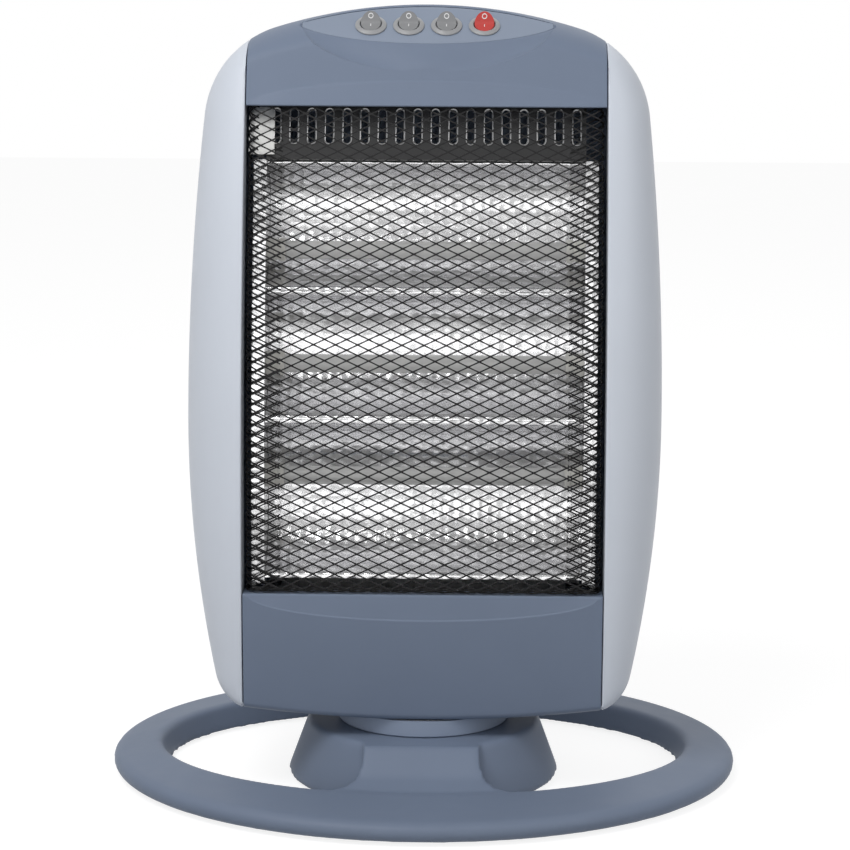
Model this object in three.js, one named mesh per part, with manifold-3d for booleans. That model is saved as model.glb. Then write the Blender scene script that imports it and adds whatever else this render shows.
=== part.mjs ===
// A free-standing halogen heater: an oval floor stand with a turning collar, and a bowed body that holds
// three quartz tubes in bright reflectors behind a diamond-mesh guard. Four round rocker switches are on top.
// Millimetres, +Z up, the front faces -Y. The origin is on the floor, under the middle of the oval ring.
// Every form is worked out from the axis that the body turns about, and then moved forward with it.
import * as THREE from 'three';
import { mergeVertices } from 'three/addons/utils/BufferGeometryUtils.js';
import Module from 'manifold-3d';

const wasm = await Module();
wasm.setup();

// ---------------------------------------------------------------- driving dimensions

// Clearances
const gap = 0.3; // between pieces that touch
const runningGap = 0.4; // between pieces that turn on each other
const seam = 0.6; // between the outer panels

// Body, seen from the front
const bodyHalfWidth = 148.5; // at its widest
const bodyTop = 489;
const bodyBottom = 49;
const widestHeight = 238;
const upperSideRadius = 1900;
const lowerSideRadius = 750;
const topRadius = 330;
const bottomRadius = 1045;
const topCornerRadius = 62;
const bottomCornerRadius = 19;

// Body, seen from the side
const frontRadius = 800; // the bow of the front face
const frontReach = 60; // how far the front face stands forward of the turning axis
const bowHeight = 149; // where it stands furthest forward
const backReach = 44;
const backRadius = 1300;
const partingDepth = 52; // from the front face to the joint between front and rear mouldings
const panelWall = 2.4;
const topFall = 3.5; // the top slopes down by this much behind its ridge

// Seams and edges of the front
const seamX = 112; // the side panels begin here
const topRollHeight = 16;
const bottomRollHeight = 4;
const rollDepthRatio = 1.2; // depth of the rounded edge for its height, at the sides
const topRollDepthRatio = 2;
const cornerEase = 10; // height in which the seam's edge makes room for the rounded top and foot
const rearRollShare = 0.8;
const rearRollDepth = 20;

// Opening of the front
const openingBottom = 132;
const openingTop = 429;
const lipDepth = 16;
const lipWall = 2;
const lipOverlap = 1; // the lip begins this far inside the panel's wall
const sideLipDepth = 26;
const sideLipMargin = 1; // from the rounded edges above and below

// Guard of diamond mesh
const meshColumns = 5;
const meshRows = 15;
const strandWidth = 2;
const strandDepth = 1;
const meshInset = 1.2; // behind the front face
const guardBend = 8;
const guardFlange = 16;
const sheetStep = 0.2; // the bent sides are thinner than the face by this much on each face

// Reflectors, tubes and their end plates
const ridgeHeights = [136.5, 236.5, 315.5, 394.5]; // the edges of the three troughs, from the lowest up
const tubeHeights = [198, 268, 338];
const reflectorHalfLength = 99;
const ridgeInset = 22; // behind the front face
const troughDepth = 38;
const sheet = 0.8;
const tubeInset = 42;
const tubeRadius = 5.75;
const tubeHalfLength = 92;
const holderRadius = 7.5;
const holderLength = 18;
const endPlateDepth = 52;
const endFlangeWidth = 8;
const endPlateMargin = 4; // below the lowest trough
const shieldSpace = 6; // between the troughs and the heat shield
const shieldMargin = 18; // the shield reaches this far below the lowest trough

// Slotted strip above the reflectors
const ventSlots = 18;
const ventPitch = 11;
const ventSlotWidth = 4.2;
const ventSlotHeight = 22;
const ventSlotDrop = 13.4; // from the opening's upper edge to the middle of the slots
const ventMargin = 1; // between the strip and the edges above and below it
const ventStripInset = 18;
const ventStripWall = 2;

// Control facet on top of the body
const facetDrop = 22.8; // of the facet's front edge, below the top of the body
const facetFront = { y: 11, z: bodyTop - facetDrop };
const facetSlope = THREE.MathUtils.degToRad(34);
const lensHalfWidth = 85.4; // where the lens's bowed front edge would reach the ridge
const lensBow = 27; // sweep of the lens's front edge, along the slope
const lensEnd = 79; // half the length of the lens
const lensSetback = 0.4; // of the lens's front edge, up the slope
const lensRidge = 4.2; // left of the slope behind the lens
const lensLeast = 1.2; // least depth of the lens, at its tips
const lensThickness = 2.2;
const apronHalfWidth = 80.3;
const apronDrop = 16.2; // of the apron's lowest point, below the facet's front edge
const apronRise = 32;

// Rocker switches
const switchPitch = 23.7;
const switchMiddle = -0.1; // middle of the row, from the body's middle
const switchSlope = 18.5; // up the slope from the facet's front edge
const bezelRadius = 9.8;
const bezelTopRadius = 8.7;
const bezelHeight = 3.4;
const rockerRadius = 7.7;
const rockerPivot = 1.4; // above the lens
const rockerValley = 4.4;
const rockerTilt = THREE.MathUtils.degToRad(12);
const switchBarrel = 14;
const wellDepth = 10; // of the well that the rocker turns in, below the lens
const barrelWall = 1.1;
const rockerFoot = 3; // below the pivot

// Stand
const ringOuterX = 201;
const ringOuterY = 174;
const ringInnerX = 169.3; // upper edge of the hole
const ringInnerY = 120.3;
const ringSetback = 16.3; // from the turning axis back to the middle of the ring
const holeFall = 5; // the hole narrows by this much towards the floor
const ringFoot = 2; // lower edge of the ring above the floor
const ringShoulder = 14.5;
const ringInnerEdge = 18;
const standWall = 3;
const pedestalTop = 38;
const pedestalTopRadius = 73;
const pedestalFootRadius = 86.5;
const bridgeHalfWidth = 36;
const bridgeFlare = 24; // radius where the bridge runs out into the ring
const bridgeReach = 20; // the bridge ends this far inside the ring's outer edge
const footRadius = 9;
const footHeight = 3;
const footAngle = THREE.MathUtils.degToRad(45);

// Turning collar and its drive
const collarRadius = 54.5;
const collarWall = 2.4;
const bearingRadius = 51.4;
const bearingWidth = 4.4;
const swivelPlateThickness = 2.3;
const pivotRadius = 5;
const pivotHeadRadius = 6.5;
const pivotHeadHeight = 4.6;
const pivotNutRadius = 9;
const pivotNutHeight = 6;
const chassisFloorThickness = 1.5;
const crankDistance = 28; // from the turning axis to the motor's shaft
const crankRadius = 14;
const crankThickness = 2.6;
const crankPinRadius = 2;
const crankSlotHalfWidth = 5;
const motorRadius = 21;
const motorHeight = 18;
const motorShaftRadius = 3;

// Back of the body, and the small pieces inside it
const slotBanks = [110, 330]; // height of the lowest air slot of each bank
const airSlotLength = 70;
const airSlotHeight = 4;
const airSlotPitch = 12;
const airSlotRows = 6;
const airSlotMargin = 6; // from the middle of the back to the slots
const bossRadius = 6;
const bossHalfPitch = 70;
const bossHeights = [175, 380];
const glandRadius = 7;
const glandBore = 3.6;
const glandFlange = 2.5;
const glandPlace = { x: 60, z: 78 };
const floorHalfWidth = 50;
const floorDepths = [-38, 34]; // front and back edges of the steel floor
const tiltSwitchPlace = { x: [-42, -22], y: [-20, 4] };
const tiltSwitchHeight = 20;

// ---------------------------------------------------------------- finishes

const finish = (name, color, roughness, metalness = 0) =>
  new THREE.MeshStandardMaterial({ name, color, roughness, metalness });
const bluePlastic = finish('blue_plastic', 0x76839a, 0.45);
const silverPlastic = finish('silver_plastic', 0xc3c8d1, 0.4, 0.2);
const blackPlastic = finish('black_plastic', 0x2b2c2e, 0.5);
const greyPlastic = finish('grey_plastic', 0x858789, 0.4);
const redPlastic = finish('red_plastic', 0xb83a36, 0.35);
const blackWire = finish('black_wire', 0x151617, 0.45, 0.3);
const brightAluminium = finish('bright_aluminium', 0xc9cbcd, 0.22, 1);
const steel = finish('steel', 0x9a9c9e, 0.4, 1);
const quartz = finish('quartz', 0xe9e6df, 0.15);
const ceramic = finish('ceramic', 0xe8e6de, 0.6);
const rubber = finish('rubber', 0x1c1c1d, 0.9);

// ---------------------------------------------------------------- joining and cutting

function solid(geometry) {
  const bare = geometry.index ? geometry.toNonIndexed() : geometry.clone();
  for (const name of ['normal', 'uv']) {
    bare.deleteAttribute(name);
  }
  const merged = mergeVertices(bare, 1e-4);
  const corners = [];
  const index = merged.index.array;
  for (let i = 0; i < index.length; i += 3) {
    const [a, b, c] = index.slice(i, i + 3);
    if (a !== b && b !== c && c !== a) corners.push(a, b, c);
  }
  const mesh = new wasm.Mesh({
    numProp: 3,
    vertProperties: new Float32Array(merged.attributes.position.array),
    triVerts: new Uint32Array(corners),
  });
  return new wasm.Manifold(mesh);
}

function geometryOf(manifold) {
  const mesh = manifold.getMesh();
  const geometry = new THREE.BufferGeometry();
  geometry.setAttribute('position', new THREE.BufferAttribute(mesh.vertProperties, 3));
  geometry.setIndex(new THREE.BufferAttribute(mesh.triVerts, 1));
  return geometry;
}

const joined = (first, ...others) => others.reduce((sum, other) => sum.add(other), first);
const cut = (first, ...others) => others.reduce((rest, other) => rest.subtract(other), first);

// ---------------------------------------------------------------- plain forms

const along = {
  x: new THREE.Matrix4().makeRotationZ(-Math.PI / 2),
  z: new THREE.Matrix4().makeRotationX(Math.PI / 2),
};

function block([x0, x1], [y0, y1], [z0, z1]) {
  const geometry = new THREE.BoxGeometry(x1 - x0, y1 - y0, z1 - z0);
  geometry.translate((x0 + x1) / 2, (y0 + y1) / 2, (z0 + z1) / 2);
  return solid(geometry);
}

// A round bar or cone from one height to another about a vertical line.
function upright(radius, [z0, z1], { x = 0, y = 0, topRadius: upper = radius, sides = 32 } = {}) {
  const geometry = new THREE.CylinderGeometry(upper, radius, z1 - z0, sides);
  geometry.applyMatrix4(along.z);
  geometry.translate(x, y, (z0 + z1) / 2);
  return solid(geometry);
}

// A round bar along X, centred on a height and a depth.
function crosswise(radius, [x0, x1], y, z, sides = 20) {
  const geometry = new THREE.CylinderGeometry(radius, radius, x1 - x0, sides);
  geometry.applyMatrix4(along.x);
  geometry.translate((x0 + x1) / 2, y, z);
  return solid(geometry);
}

function ring(outer, inner, heights, options = {}) {
  const hole = upright(inner, [heights[0] - 1, heights[1] + 1], options);
  return cut(upright(outer, heights, options), hole);
}

// A profile of [y, z] points, drawn out along X.
function profileAlongX(points, [x0, x1]) {
  const shape = new THREE.Shape(points.map(([y, z]) => new THREE.Vector2(y, z)));
  const geometry = new THREE.ExtrudeGeometry(shape, { depth: x1 - x0, bevelEnabled: false });
  geometry.applyMatrix4(new THREE.Matrix4().set(0, 0, 1, x0, 1, 0, 0, 0, 0, 1, 0, 0, 0, 0, 0, 1));
  return solid(geometry);
}

// A plan shape in X and Y, drawn up from one height to another.
function planBetween(shape, [z0, z1], curveSegments = 8) {
  const geometry = new THREE.ExtrudeGeometry(shape, { depth: z1 - z0, bevelEnabled: false, curveSegments });
  geometry.translate(0, 0, z0);
  return solid(geometry);
}

// A closed skin through rings of points. Each end ring is symmetric about x = 0, and level strips close it.
function skin(rings) {
  const count = rings[0].length;
  const positions = rings.flat().flatMap((point) => [point.x, point.y, point.z]);
  const faces = [];
  const quad = (a, b, c, d) => faces.push(a, b, c, a, c, d);
  for (let k = 0; k + 1 < rings.length; k += 1) {
    for (let i = 0; i < count; i += 1) {
      const next = (i + 1) % count;
      quad(k * count + i, (k + 1) * count + i, (k + 1) * count + next, k * count + next);
    }
  }
  const last = (rings.length - 1) * count;
  for (let i = 0; i < count / 2; i += 1) {
    const mirror = (count - i) % count;
    const mirrorNext = count - i - 1;
    quad(i, i + 1, mirrorNext, mirror);
    quad(last + i, last + mirror, last + mirrorNext, last + i + 1);
  }
  const geometry = new THREE.BufferGeometry();
  geometry.setAttribute('position', new THREE.Float32BufferAttribute(positions, 3));
  geometry.setIndex(faces);
  return solid(geometry);
}

// ---------------------------------------------------------------- the body's outer form

const frontFace = (z) => frontRadius - frontReach - Math.sqrt(frontRadius ** 2 - (z - bowHeight) ** 2);
const backFace = (z) => backReach + (z - bowHeight) ** 2 / (2 * backRadius);
const topArc = (x) => bodyTop - topRadius + Math.sqrt(topRadius ** 2 - x ** 2);
const bottomArc = (x) => bodyBottom + bottomRadius - Math.sqrt(bottomRadius ** 2 - x ** 2);

// Centre of a corner arc that touches two larger arcs from inside.
function cornerCentre(first, second, radius, side) {
  const r1 = first.radius - radius;
  const r2 = second.radius - radius;
  const dx = second.x - first.x;
  const dz = second.z - first.z;
  const distance = Math.hypot(dx, dz);
  const a = (r1 ** 2 - r2 ** 2 + distance ** 2) / (2 * distance);
  const h = side * Math.sqrt(r1 ** 2 - a ** 2);
  return {
    x: first.x + (a * dx - h * dz) / distance,
    z: first.z + (a * dz + h * dx) / distance,
    radius,
  };
}

// Right half of the front view, from the bottom's middle to the top's middle: points and outward normals.
function halfOutline() {
  const lower = { x: bodyHalfWidth - lowerSideRadius, z: widestHeight, radius: lowerSideRadius };
  const upper = { x: bodyHalfWidth - upperSideRadius, z: widestHeight, radius: upperSideRadius };
  const bottom = { x: 0, z: bodyBottom + bottomRadius, radius: bottomRadius };
  const top = { x: 0, z: bodyTop - topRadius, radius: topRadius };
  const bottomCorner = cornerCentre(lower, bottom, bottomCornerRadius, -1);
  const topCorner = cornerCentre(upper, top, topCornerRadius, 1);
  const angle = (from, to) => Math.atan2(to.z - from.z, to.x - from.x);
  const arcs = [
    [bottom, -Math.PI / 2, angle(bottom, bottomCorner), 3],
    [bottomCorner, angle(bottom, bottomCorner), angle(lower, bottomCorner), 3],
    [lower, angle(lower, bottomCorner), 0, 6],
    [upper, 0, angle(upper, topCorner), 6],
    [topCorner, angle(upper, topCorner), angle(top, topCorner), 5],
    [top, angle(top, topCorner), Math.PI / 2, 5],
  ];
  const points = [];
  for (const [centre, from, to, steps] of arcs) {
    for (let i = points.length ? 1 : 0; i <= steps; i += 1) {
      const turn = from + ((to - from) * i) / steps;
      const nx = Math.cos(turn);
      const nz = Math.sin(turn);
      points.push({ x: centre.x + centre.radius * nx, z: centre.z + centre.radius * nz, nx, nz });
    }
  }
  points.at(-1).x = 0;
  return points;
}

// The edge of the flat front that each outline point is rounded towards.
function flatEdge(point) {
  const x = Math.min(point.x, seamX);
  const highest = topArc(x) - topRollHeight;
  const lowest = bottomArc(x) + bottomRollHeight;
  if (point.x <= seamX) return { x, z: point.z > widestHeight ? highest : lowest };
  const squeezed = (limit, roll) => limit + ((point.z - limit) * cornerEase) / (cornerEase + roll);
  if (point.z > highest - cornerEase) return { x, z: squeezed(highest - cornerEase, topRollHeight) };
  if (point.z < lowest + cornerEase) return { x, z: squeezed(lowest + cornerEase, bottomRollHeight) };
  return { x, z: point.z };
}

const rightHalf = halfOutline().map((point) => ({ ...point, flat: flatEdge(point) }));
const mirrored = (point) => ({
  ...point,
  x: -point.x,
  nx: -point.nx,
  flat: { x: -point.flat.x, z: point.flat.z },
});
const bodyOutline = [...rightHalf, ...rightHalf.slice(1, -1).reverse().map(mirrored)];

// One ring of the body's skin. The turn runs from the flat front, 0, to the widest outline, a right angle.
function frontRing(turn, wall) {
  return bodyOutline.map((point) => {
    const height = Math.hypot(point.x - point.flat.x, point.z - point.flat.z);
    const upward = Math.max(0, point.nz) ** 2;
    const ratio = rollDepthRatio + (topRollDepthRatio - rollDepthRatio) * upward;
    const edge = { x: point.x - wall * point.nx, z: point.z - wall * point.nz };
    const x = point.flat.x + (edge.x - point.flat.x) * Math.sin(turn);
    const z = point.flat.z + (edge.z - point.flat.z) * Math.sin(turn);
    const y = frontFace(z) + wall + (height * ratio - wall) * (1 - Math.cos(turn));
    return new THREE.Vector3(x, y, z);
  });
}

function sideEdge(point, wall) {
  const fall = wall + topFall * Math.max(0, point.nz) ** 2;
  return { x: point.x - fall * point.nx, z: point.z - fall * point.nz };
}

// A ring at the joint between the front and rear mouldings, moved back by a shift.
function partingRing(shift, wall) {
  return bodyOutline.map((point) => {
    const { x, z } = sideEdge(point, wall);
    return new THREE.Vector3(x, frontFace(z) + partingDepth + shift, z);
  });
}

// A ring of the rounded rear edge. The turn runs from the side, 0, to the flat back, a right angle.
function rearRing(turn, wall) {
  return bodyOutline.map((point) => {
    const { x, z } = sideEdge(point, wall);
    const inward = rearRollShare * (1 - Math.cos(turn));
    const px = x + (point.flat.x - x) * inward;
    const pz = z + (point.flat.z - z) * inward;
    const y = backFace(pz) - wall - (rearRollDepth - wall) * (1 - Math.sin(turn));
    return new THREE.Vector3(px, y, pz);
  });
}

const quarterTurn = (step, steps) => (step * Math.PI) / (2 * steps);
const rollSteps = 4;
const rearSteps = 3;

function frontForm(wall, shift) {
  const rings = [];
  for (let step = 0; step <= rollSteps; step += 1) {
    rings.push(frontRing(quarterTurn(step, rollSteps), wall));
  }
  rings.push(partingRing(shift, wall));
  return skin(rings);
}

function rearForm(wall, shift) {
  const rings = [partingRing(shift, wall)];
  for (let step = 0; step <= rearSteps; step += 1) {
    rings.push(rearRing(quarterTurn(step, rearSteps), wall));
  }
  return skin(rings);
}

// A band that follows the bow of the front, between two depths behind it.
function bowedBand([x0, x1], [near, far], [z0, z1], steps = 8) {
  const nearPoints = [];
  const farPoints = [];
  for (let i = 0; i <= steps; i += 1) {
    const z = z0 + ((z1 - z0) * i) / steps;
    nearPoints.push([frontFace(z) + near, z]);
    farPoints.unshift([frontFace(z) + far, z]);
  }
  return profileAlongX([...nearPoints, ...farPoints], [x0, x1]);
}

// ---------------------------------------------------------------- outer panels

const beyond = 300; // reaches past the body on any side
const frontOuter = frontForm(0, 0);
const frontInner = frontForm(panelWall, 1);

// The control facet's own frame: x across, s up the slope, n out of the face.
const facetPoint = (s, n = 0) => ({
  y: facetFront.y + s * Math.cos(facetSlope) - n * Math.sin(facetSlope),
  z: facetFront.z + s * Math.sin(facetSlope) + n * Math.cos(facetSlope),
});
const facetMatrix = new THREE.Matrix4()
  .makeRotationX(facetSlope)
  .setPosition(0, facetFront.y, facetFront.z);
const sweep = (x, halfWidth, rise) => rise * (1 - Math.sqrt(Math.max(0, 1 - (x / halfWidth) ** 2)));

// Everything that is carved away above the lens and the apron in front of it, held back by a wall.
function consoleCut(wall) {
  const reach = 60;
  const stations = 20;
  const span = apronHalfWidth - 0.1;
  const rings = [];
  for (let i = 0; i <= stations; i += 1) {
    const x = -span * Math.cos((Math.PI * i) / stations);
    const edge = facetPoint(sweep(x, lensHalfWidth, lensBow), -wall);
    const apronZ = facetFront.z - apronDrop + sweep(x, apronHalfWidth, apronRise);
    const apron = { y: frontFace(apronZ) + wall, z: apronZ - wall / 2 };
    const back = facetPoint(reach, -wall);
    const dy = apron.y - edge.y;
    const dz = apron.z - edge.z;
    const length = Math.hypot(dy, dz);
    const front = { y: apron.y + (dy / length) * reach, z: apron.z + (dz / length) * reach };
    const high = { y: front.y, z: back.z + reach };
    const corners = [front, edge, back, { y: back.y, z: back.z + reach }, high];
    rings.push(corners.map((p) => new THREE.Vector3(x, p.y, p.z)));
  }
  const count = 5;
  const positions = rings.flat().flatMap((p) => [p.x, p.y, p.z]);
  const faces = [];
  for (let k = 0; k < stations; k += 1) {
    for (let i = 0; i < count; i += 1) {
      const next = (i + 1) % count;
      const [a, b, c, d] = [k * count + i, k * count + next, (k + 1) * count + next, (k + 1) * count + i];
      faces.push(a, b, c, a, c, d);
    }
  }
  const last = stations * count;
  faces.push(0, 2, 1, 0, 3, 2, 0, 4, 3);
  faces.push(last, last + 1, last + 2, last, last + 2, last + 3, last, last + 3, last + 4);
  const geometry = new THREE.BufferGeometry();
  geometry.setAttribute('position', new THREE.Float32BufferAttribute(positions, 3));
  geometry.setIndex(faces);
  return solid(geometry);
}

// Plan of the lens in the facet's own frame: a bowed front edge and the top's ridge behind.
function lensShape(inset) {
  const points = [];
  const halfWidth = lensEnd - inset;
  const steps = 16;
  const frontEdge = (x) => sweep(x, lensHalfWidth, lensBow);
  const backEdge = (x) => (topArc(x) - facetFront.z) / Math.sin(facetSlope) - lensRidge;
  for (let i = 0; i <= steps; i += 1) {
    const x = -halfWidth + (2 * halfWidth * i) / steps;
    points.push(new THREE.Vector2(x, frontEdge(x) + lensSetback + inset));
  }
  for (let i = steps - 1; i > 0; i -= 1) {
    const x = -halfWidth + (2 * halfWidth * i) / steps;
    points.push(new THREE.Vector2(x, Math.max(backEdge(x), frontEdge(x) + lensLeast) - inset));
  }
  return new THREE.Shape(points);
}

function onFacet(shape, [n0, n1]) {
  const geometry = new THREE.ExtrudeGeometry(shape, { depth: n1 - n0, bevelEnabled: false });
  geometry.translate(0, 0, n0);
  geometry.applyMatrix4(facetMatrix);
  return solid(geometry);
}

const switchPlaces = [-1.5, -0.5, 0.5, 1.5].map((step) => switchMiddle + step * switchPitch);

function facetBar(x, radius, [n0, n1], { upperRadius = radius, sides = 20 } = {}) {
  const geometry = new THREE.CylinderGeometry(upperRadius, radius, n1 - n0, sides);
  geometry.applyMatrix4(along.z);
  geometry.translate(x, switchSlope, (n0 + n1) / 2);
  geometry.applyMatrix4(facetMatrix);
  return solid(geometry);
}

const barrelRadius = rockerRadius + gap + barrelWall;

function topPanel() {
  const zone = block([-seamX + seam / 2, seamX - seam / 2], [-beyond, beyond], [openingTop, beyond * 2]);
  const outer = cut(frontOuter.intersect(zone), consoleCut(0));
  const hollow = cut(frontInner, consoleCut(lensThickness + panelWall + gap));
  const lip = bowedBand(
    [-seamX + seam / 2, seamX - seam / 2],
    [lipOverlap, lipDepth],
    [openingTop, openingTop + lipWall],
    2,
  );
  const shell = joined(cut(outer, hollow), lip);
  const pocket = onFacet(lensShape(0), [-lensThickness - gap, 5]);
  const holes = switchPlaces.map((x) => facetBar(x, barrelRadius + gap, [-20, 5]));
  return cut(shell, pocket, ...holes);
}

function bottomPanel() {
  const zone = block([-seamX + seam / 2, seamX - seam / 2], [-beyond, beyond], [0, openingBottom]);
  const lip = bowedBand(
    [-seamX + seam / 2, seamX - seam / 2],
    [lipOverlap, lipDepth],
    [openingBottom - lipWall, openingBottom],
    2,
  );
  const shell = joined(cut(frontOuter.intersect(zone), frontInner), lip);
  return cut(shell, upright(pivotRadius + 3, [0, 80]));
}

function sidePanel(side) {
  const near = seamX + seam / 2;
  const across = (x0, x1) => (side > 0 ? [x0, x1] : [-x1, -x0]);
  const zone = block(across(near, beyond), [-beyond, beyond], [0, beyond * 2]);
  const lipHeights = [
    bottomArc(seamX) + bottomRollHeight + sideLipMargin,
    topArc(seamX) - topRollHeight - sideLipMargin,
  ];
  const returnLip = bowedBand(across(near, near + lipWall), [lipOverlap, sideLipDepth], lipHeights, 12);
  return joined(cut(frontOuter.intersect(zone), frontInner), returnLip.intersect(frontOuter));
}

const shieldInset = ridgeInset + troughDepth + shieldSpace;
const bossPlaces = [-1, 1].flatMap((side) => bossHeights.map((z) => ({ x: side * bossHalfPitch, z })));

// Air slots through the back, in two banks.
function backSlots() {
  const slots = [];
  for (const start of slotBanks) {
    for (let row = 0; row < airSlotRows; row += 1) {
      const z = start + row * airSlotPitch;
      for (const side of [-1, 1]) {
        const ends = [side * airSlotMargin, side * (airSlotMargin + airSlotLength)];
        const span = [Math.min(...ends), Math.max(...ends)];
        slots.push(block(span, [panelWall, beyond], [z, z + airSlotHeight]));
      }
    }
  }
  return slots;
}

function rearHousing() {
  const shell = cut(rearForm(0, seam), rearForm(panelWall, seam - 1));
  const clearOfShield = bowedBand([-beyond, beyond], [0, shieldInset + sheet + gap], [bodyBottom, bodyTop]);
  const bosses = bossPlaces.map(({ x, z }) => {
    const geometry = new THREE.CylinderGeometry(bossRadius, bossRadius, beyond, 16);
    geometry.translate(x, beyond / 2, z);
    return cut(solid(geometry), clearOfShield).intersect(rearForm(1, 0));
  });
  const gland = new THREE.CylinderGeometry(glandRadius + gap, glandRadius + gap, 60, 20);
  gland.translate(glandPlace.x, backFace(glandPlace.z), glandPlace.z);
  const body = cut(joined(shell, ...bosses), ...backSlots(), solid(gland));
  return cut(body, upright(pivotRadius + 3, [0, 80]));
}

// ---------------------------------------------------------------- controls

function rocker() {
  const ball = new THREE.SphereGeometry(rockerRadius, 16, 8);
  const reach = 20;
  const valley = rockerValley - rockerPivot;
  const lift = reach * Math.tan(rockerTilt);
  const wedge = profileAlongX(
    [
      [0, valley],
      [reach, valley + lift],
      [reach, valley + reach],
      [-reach, valley + reach],
      [-reach, valley + lift],
    ],
    [-reach, reach],
  );
  const foot = block([-reach, reach], [-reach, reach], [-reach, -rockerFoot]);
  return cut(solid(ball), wedge, foot);
}

function switchBody(x) {
  const flange = facetBar(x, bezelRadius, [gap, bezelHeight], { upperRadius: bezelTopRadius });
  const barrel = facetBar(x, barrelRadius, [-switchBarrel, gap + 0.1]);
  const well = facetBar(x, rockerRadius + gap, [-wellDepth, bezelHeight + 1]);
  return cut(joined(flange, barrel), well);
}

// ---------------------------------------------------------------- guard, vent strip, reflectors

// The guard is one sheet: diamonds between crossing strands, a rim, and sides bent back behind the panels.
function guard() {
  const halfFlat = seamX - seam - guardBend - 1;
  const bottom = openingBottom + 1.5;
  const top = openingTop - 1;
  const stepX = halfFlat / meshColumns;
  const stepZ = (top - bottom) / (2 * meshRows);
  const slope = stepZ / stepX;
  const half = (strandWidth / 2) * Math.hypot(1, slope);
  const diamondHalfWidth = stepX - half / slope;
  const diamondHalfHeight = stepZ - half;
  const rightEdge = [];
  for (let row = 0; row <= 2 * meshRows; row += 1) {
    rightEdge.push(new THREE.Vector2(halfFlat, bottom + row * stepZ));
  }
  const leftEdge = rightEdge.map((point) => new THREE.Vector2(-halfFlat, point.y)).reverse();
  const face = new THREE.Shape([...rightEdge, ...leftEdge]);
  for (let row = 1; row < 2 * meshRows; row += 1) {
    for (let column = 1; column < 2 * meshColumns; column += 1) {
      if ((row + column) % 2) continue;
      const x = -halfFlat + column * stepX;
      const z = bottom + row * stepZ;
      face.holes.push(
        new THREE.Path([
          new THREE.Vector2(x - diamondHalfWidth, z),
          new THREE.Vector2(x, z - diamondHalfHeight),
          new THREE.Vector2(x + diamondHalfWidth, z),
          new THREE.Vector2(x, z + diamondHalfHeight),
        ]),
      );
    }
  }
  const flat = new THREE.ExtrudeGeometry(face, { depth: strandDepth, bevelEnabled: false });
  const place = flat.attributes.position;
  for (let i = 0; i < place.count; i += 1) {
    const x = place.getX(i);
    const z = place.getY(i);
    place.setXYZ(i, x, frontFace(z) + meshInset + strandDepth - place.getZ(i), z);
  }
  const front = solid(flat);
  const sides = [-1, 1].map((side) => {
    const thin = strandDepth - 2 * sheetStep;
    const start = halfFlat - 3 * sheetStep;
    const bendSteps = 4;
    const outerPath = [];
    const innerPath = [];
    for (let i = 0; i <= bendSteps; i += 1) {
      const turn = quarterTurn(i, bendSteps);
      const innerBend = guardBend - thin;
      outerPath.push([Math.sin(turn) * guardBend, (1 - Math.cos(turn)) * guardBend]);
      innerPath.push([Math.sin(turn) * innerBend, thin + (1 - Math.cos(turn)) * innerBend]);
    }
    outerPath.push([guardBend, guardBend + guardFlange]);
    innerPath.push([guardBend - thin, guardBend + guardFlange]);
    const rings = [];
    for (let k = 0; k <= meshRows; k += 1) {
      const z = bottom + 2 * k * stepZ;
      const y = frontFace(z) + meshInset + sheetStep;
      const at = ([dx, dy]) => new THREE.Vector3(side * (start + dx), y + dy, z);
      rings.push([...outerPath.map(at), ...innerPath.map(at).reverse()]);
    }
    return prism(rings);
  });
  return joined(front, ...sides);
}

// A closed solid through level outlines of equal length, its ends closed by fans across paired points.
function prism(rings) {
  const count = rings[0].length;
  const positions = rings.flat().flatMap((p) => [p.x, p.y, p.z]);
  const faces = [];
  for (let k = 0; k + 1 < rings.length; k += 1) {
    for (let i = 0; i < count; i += 1) {
      const next = (i + 1) % count;
      const [a, b, c, d] = [k * count + i, k * count + next, (k + 1) * count + next, (k + 1) * count + i];
      faces.push(a, b, c, a, c, d);
    }
  }
  const last = (rings.length - 1) * count;
  for (let i = 0; i + 1 < count / 2; i += 1) {
    const [a, b, c, d] = [i, i + 1, count - i - 2, count - i - 1];
    faces.push(a, c, b, a, d, c);
    faces.push(last + a, last + b, last + c, last + a, last + c, last + d);
  }
  const volume = signedVolume(positions, faces);
  const outward = volume > 0 ? faces : faces.reverse();
  const geometry = new THREE.BufferGeometry();
  geometry.setAttribute('position', new THREE.Float32BufferAttribute(positions, 3));
  geometry.setIndex(outward);
  return solid(geometry);
}

function signedVolume(positions, faces) {
  const point = (i) => new THREE.Vector3().fromArray(positions, i * 3);
  let sum = 0;
  for (let i = 0; i < faces.length; i += 3) {
    sum += point(faces[i]).dot(point(faces[i + 1]).cross(point(faces[i + 2])));
  }
  return sum / 6;
}

const lowestRidge = ridgeHeights[0];
const ventBottom = ridgeHeights.at(-1) + ventMargin;

function ventStrip() {
  const halfLength = seamX - seam - guardBend - 4;
  const strip = bowedBand(
    [-halfLength, halfLength],
    [ventStripInset, ventStripInset + ventStripWall],
    [ventBottom, openingTop - ventMargin],
    2,
  );
  const slots = [];
  for (let i = 0; i < ventSlots; i += 1) {
    const x = (i - (ventSlots - 1) / 2) * ventPitch;
    const shape = new THREE.Shape();
    const half = ventSlotHeight / 2 - ventSlotWidth / 2;
    shape.absarc(0, half, ventSlotWidth / 2, 0, Math.PI, false);
    shape.absarc(0, -half, ventSlotWidth / 2, Math.PI, 2 * Math.PI, false);
    const geometry = new THREE.ExtrudeGeometry(shape, { depth: 80, bevelEnabled: false, curveSegments: 2 });
    geometry.rotateX(Math.PI / 2);
    geometry.translate(x, 60, openingTop - ventSlotDrop);
    slots.push(solid(geometry));
  }
  return cut(strip, ...slots);
}

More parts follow.
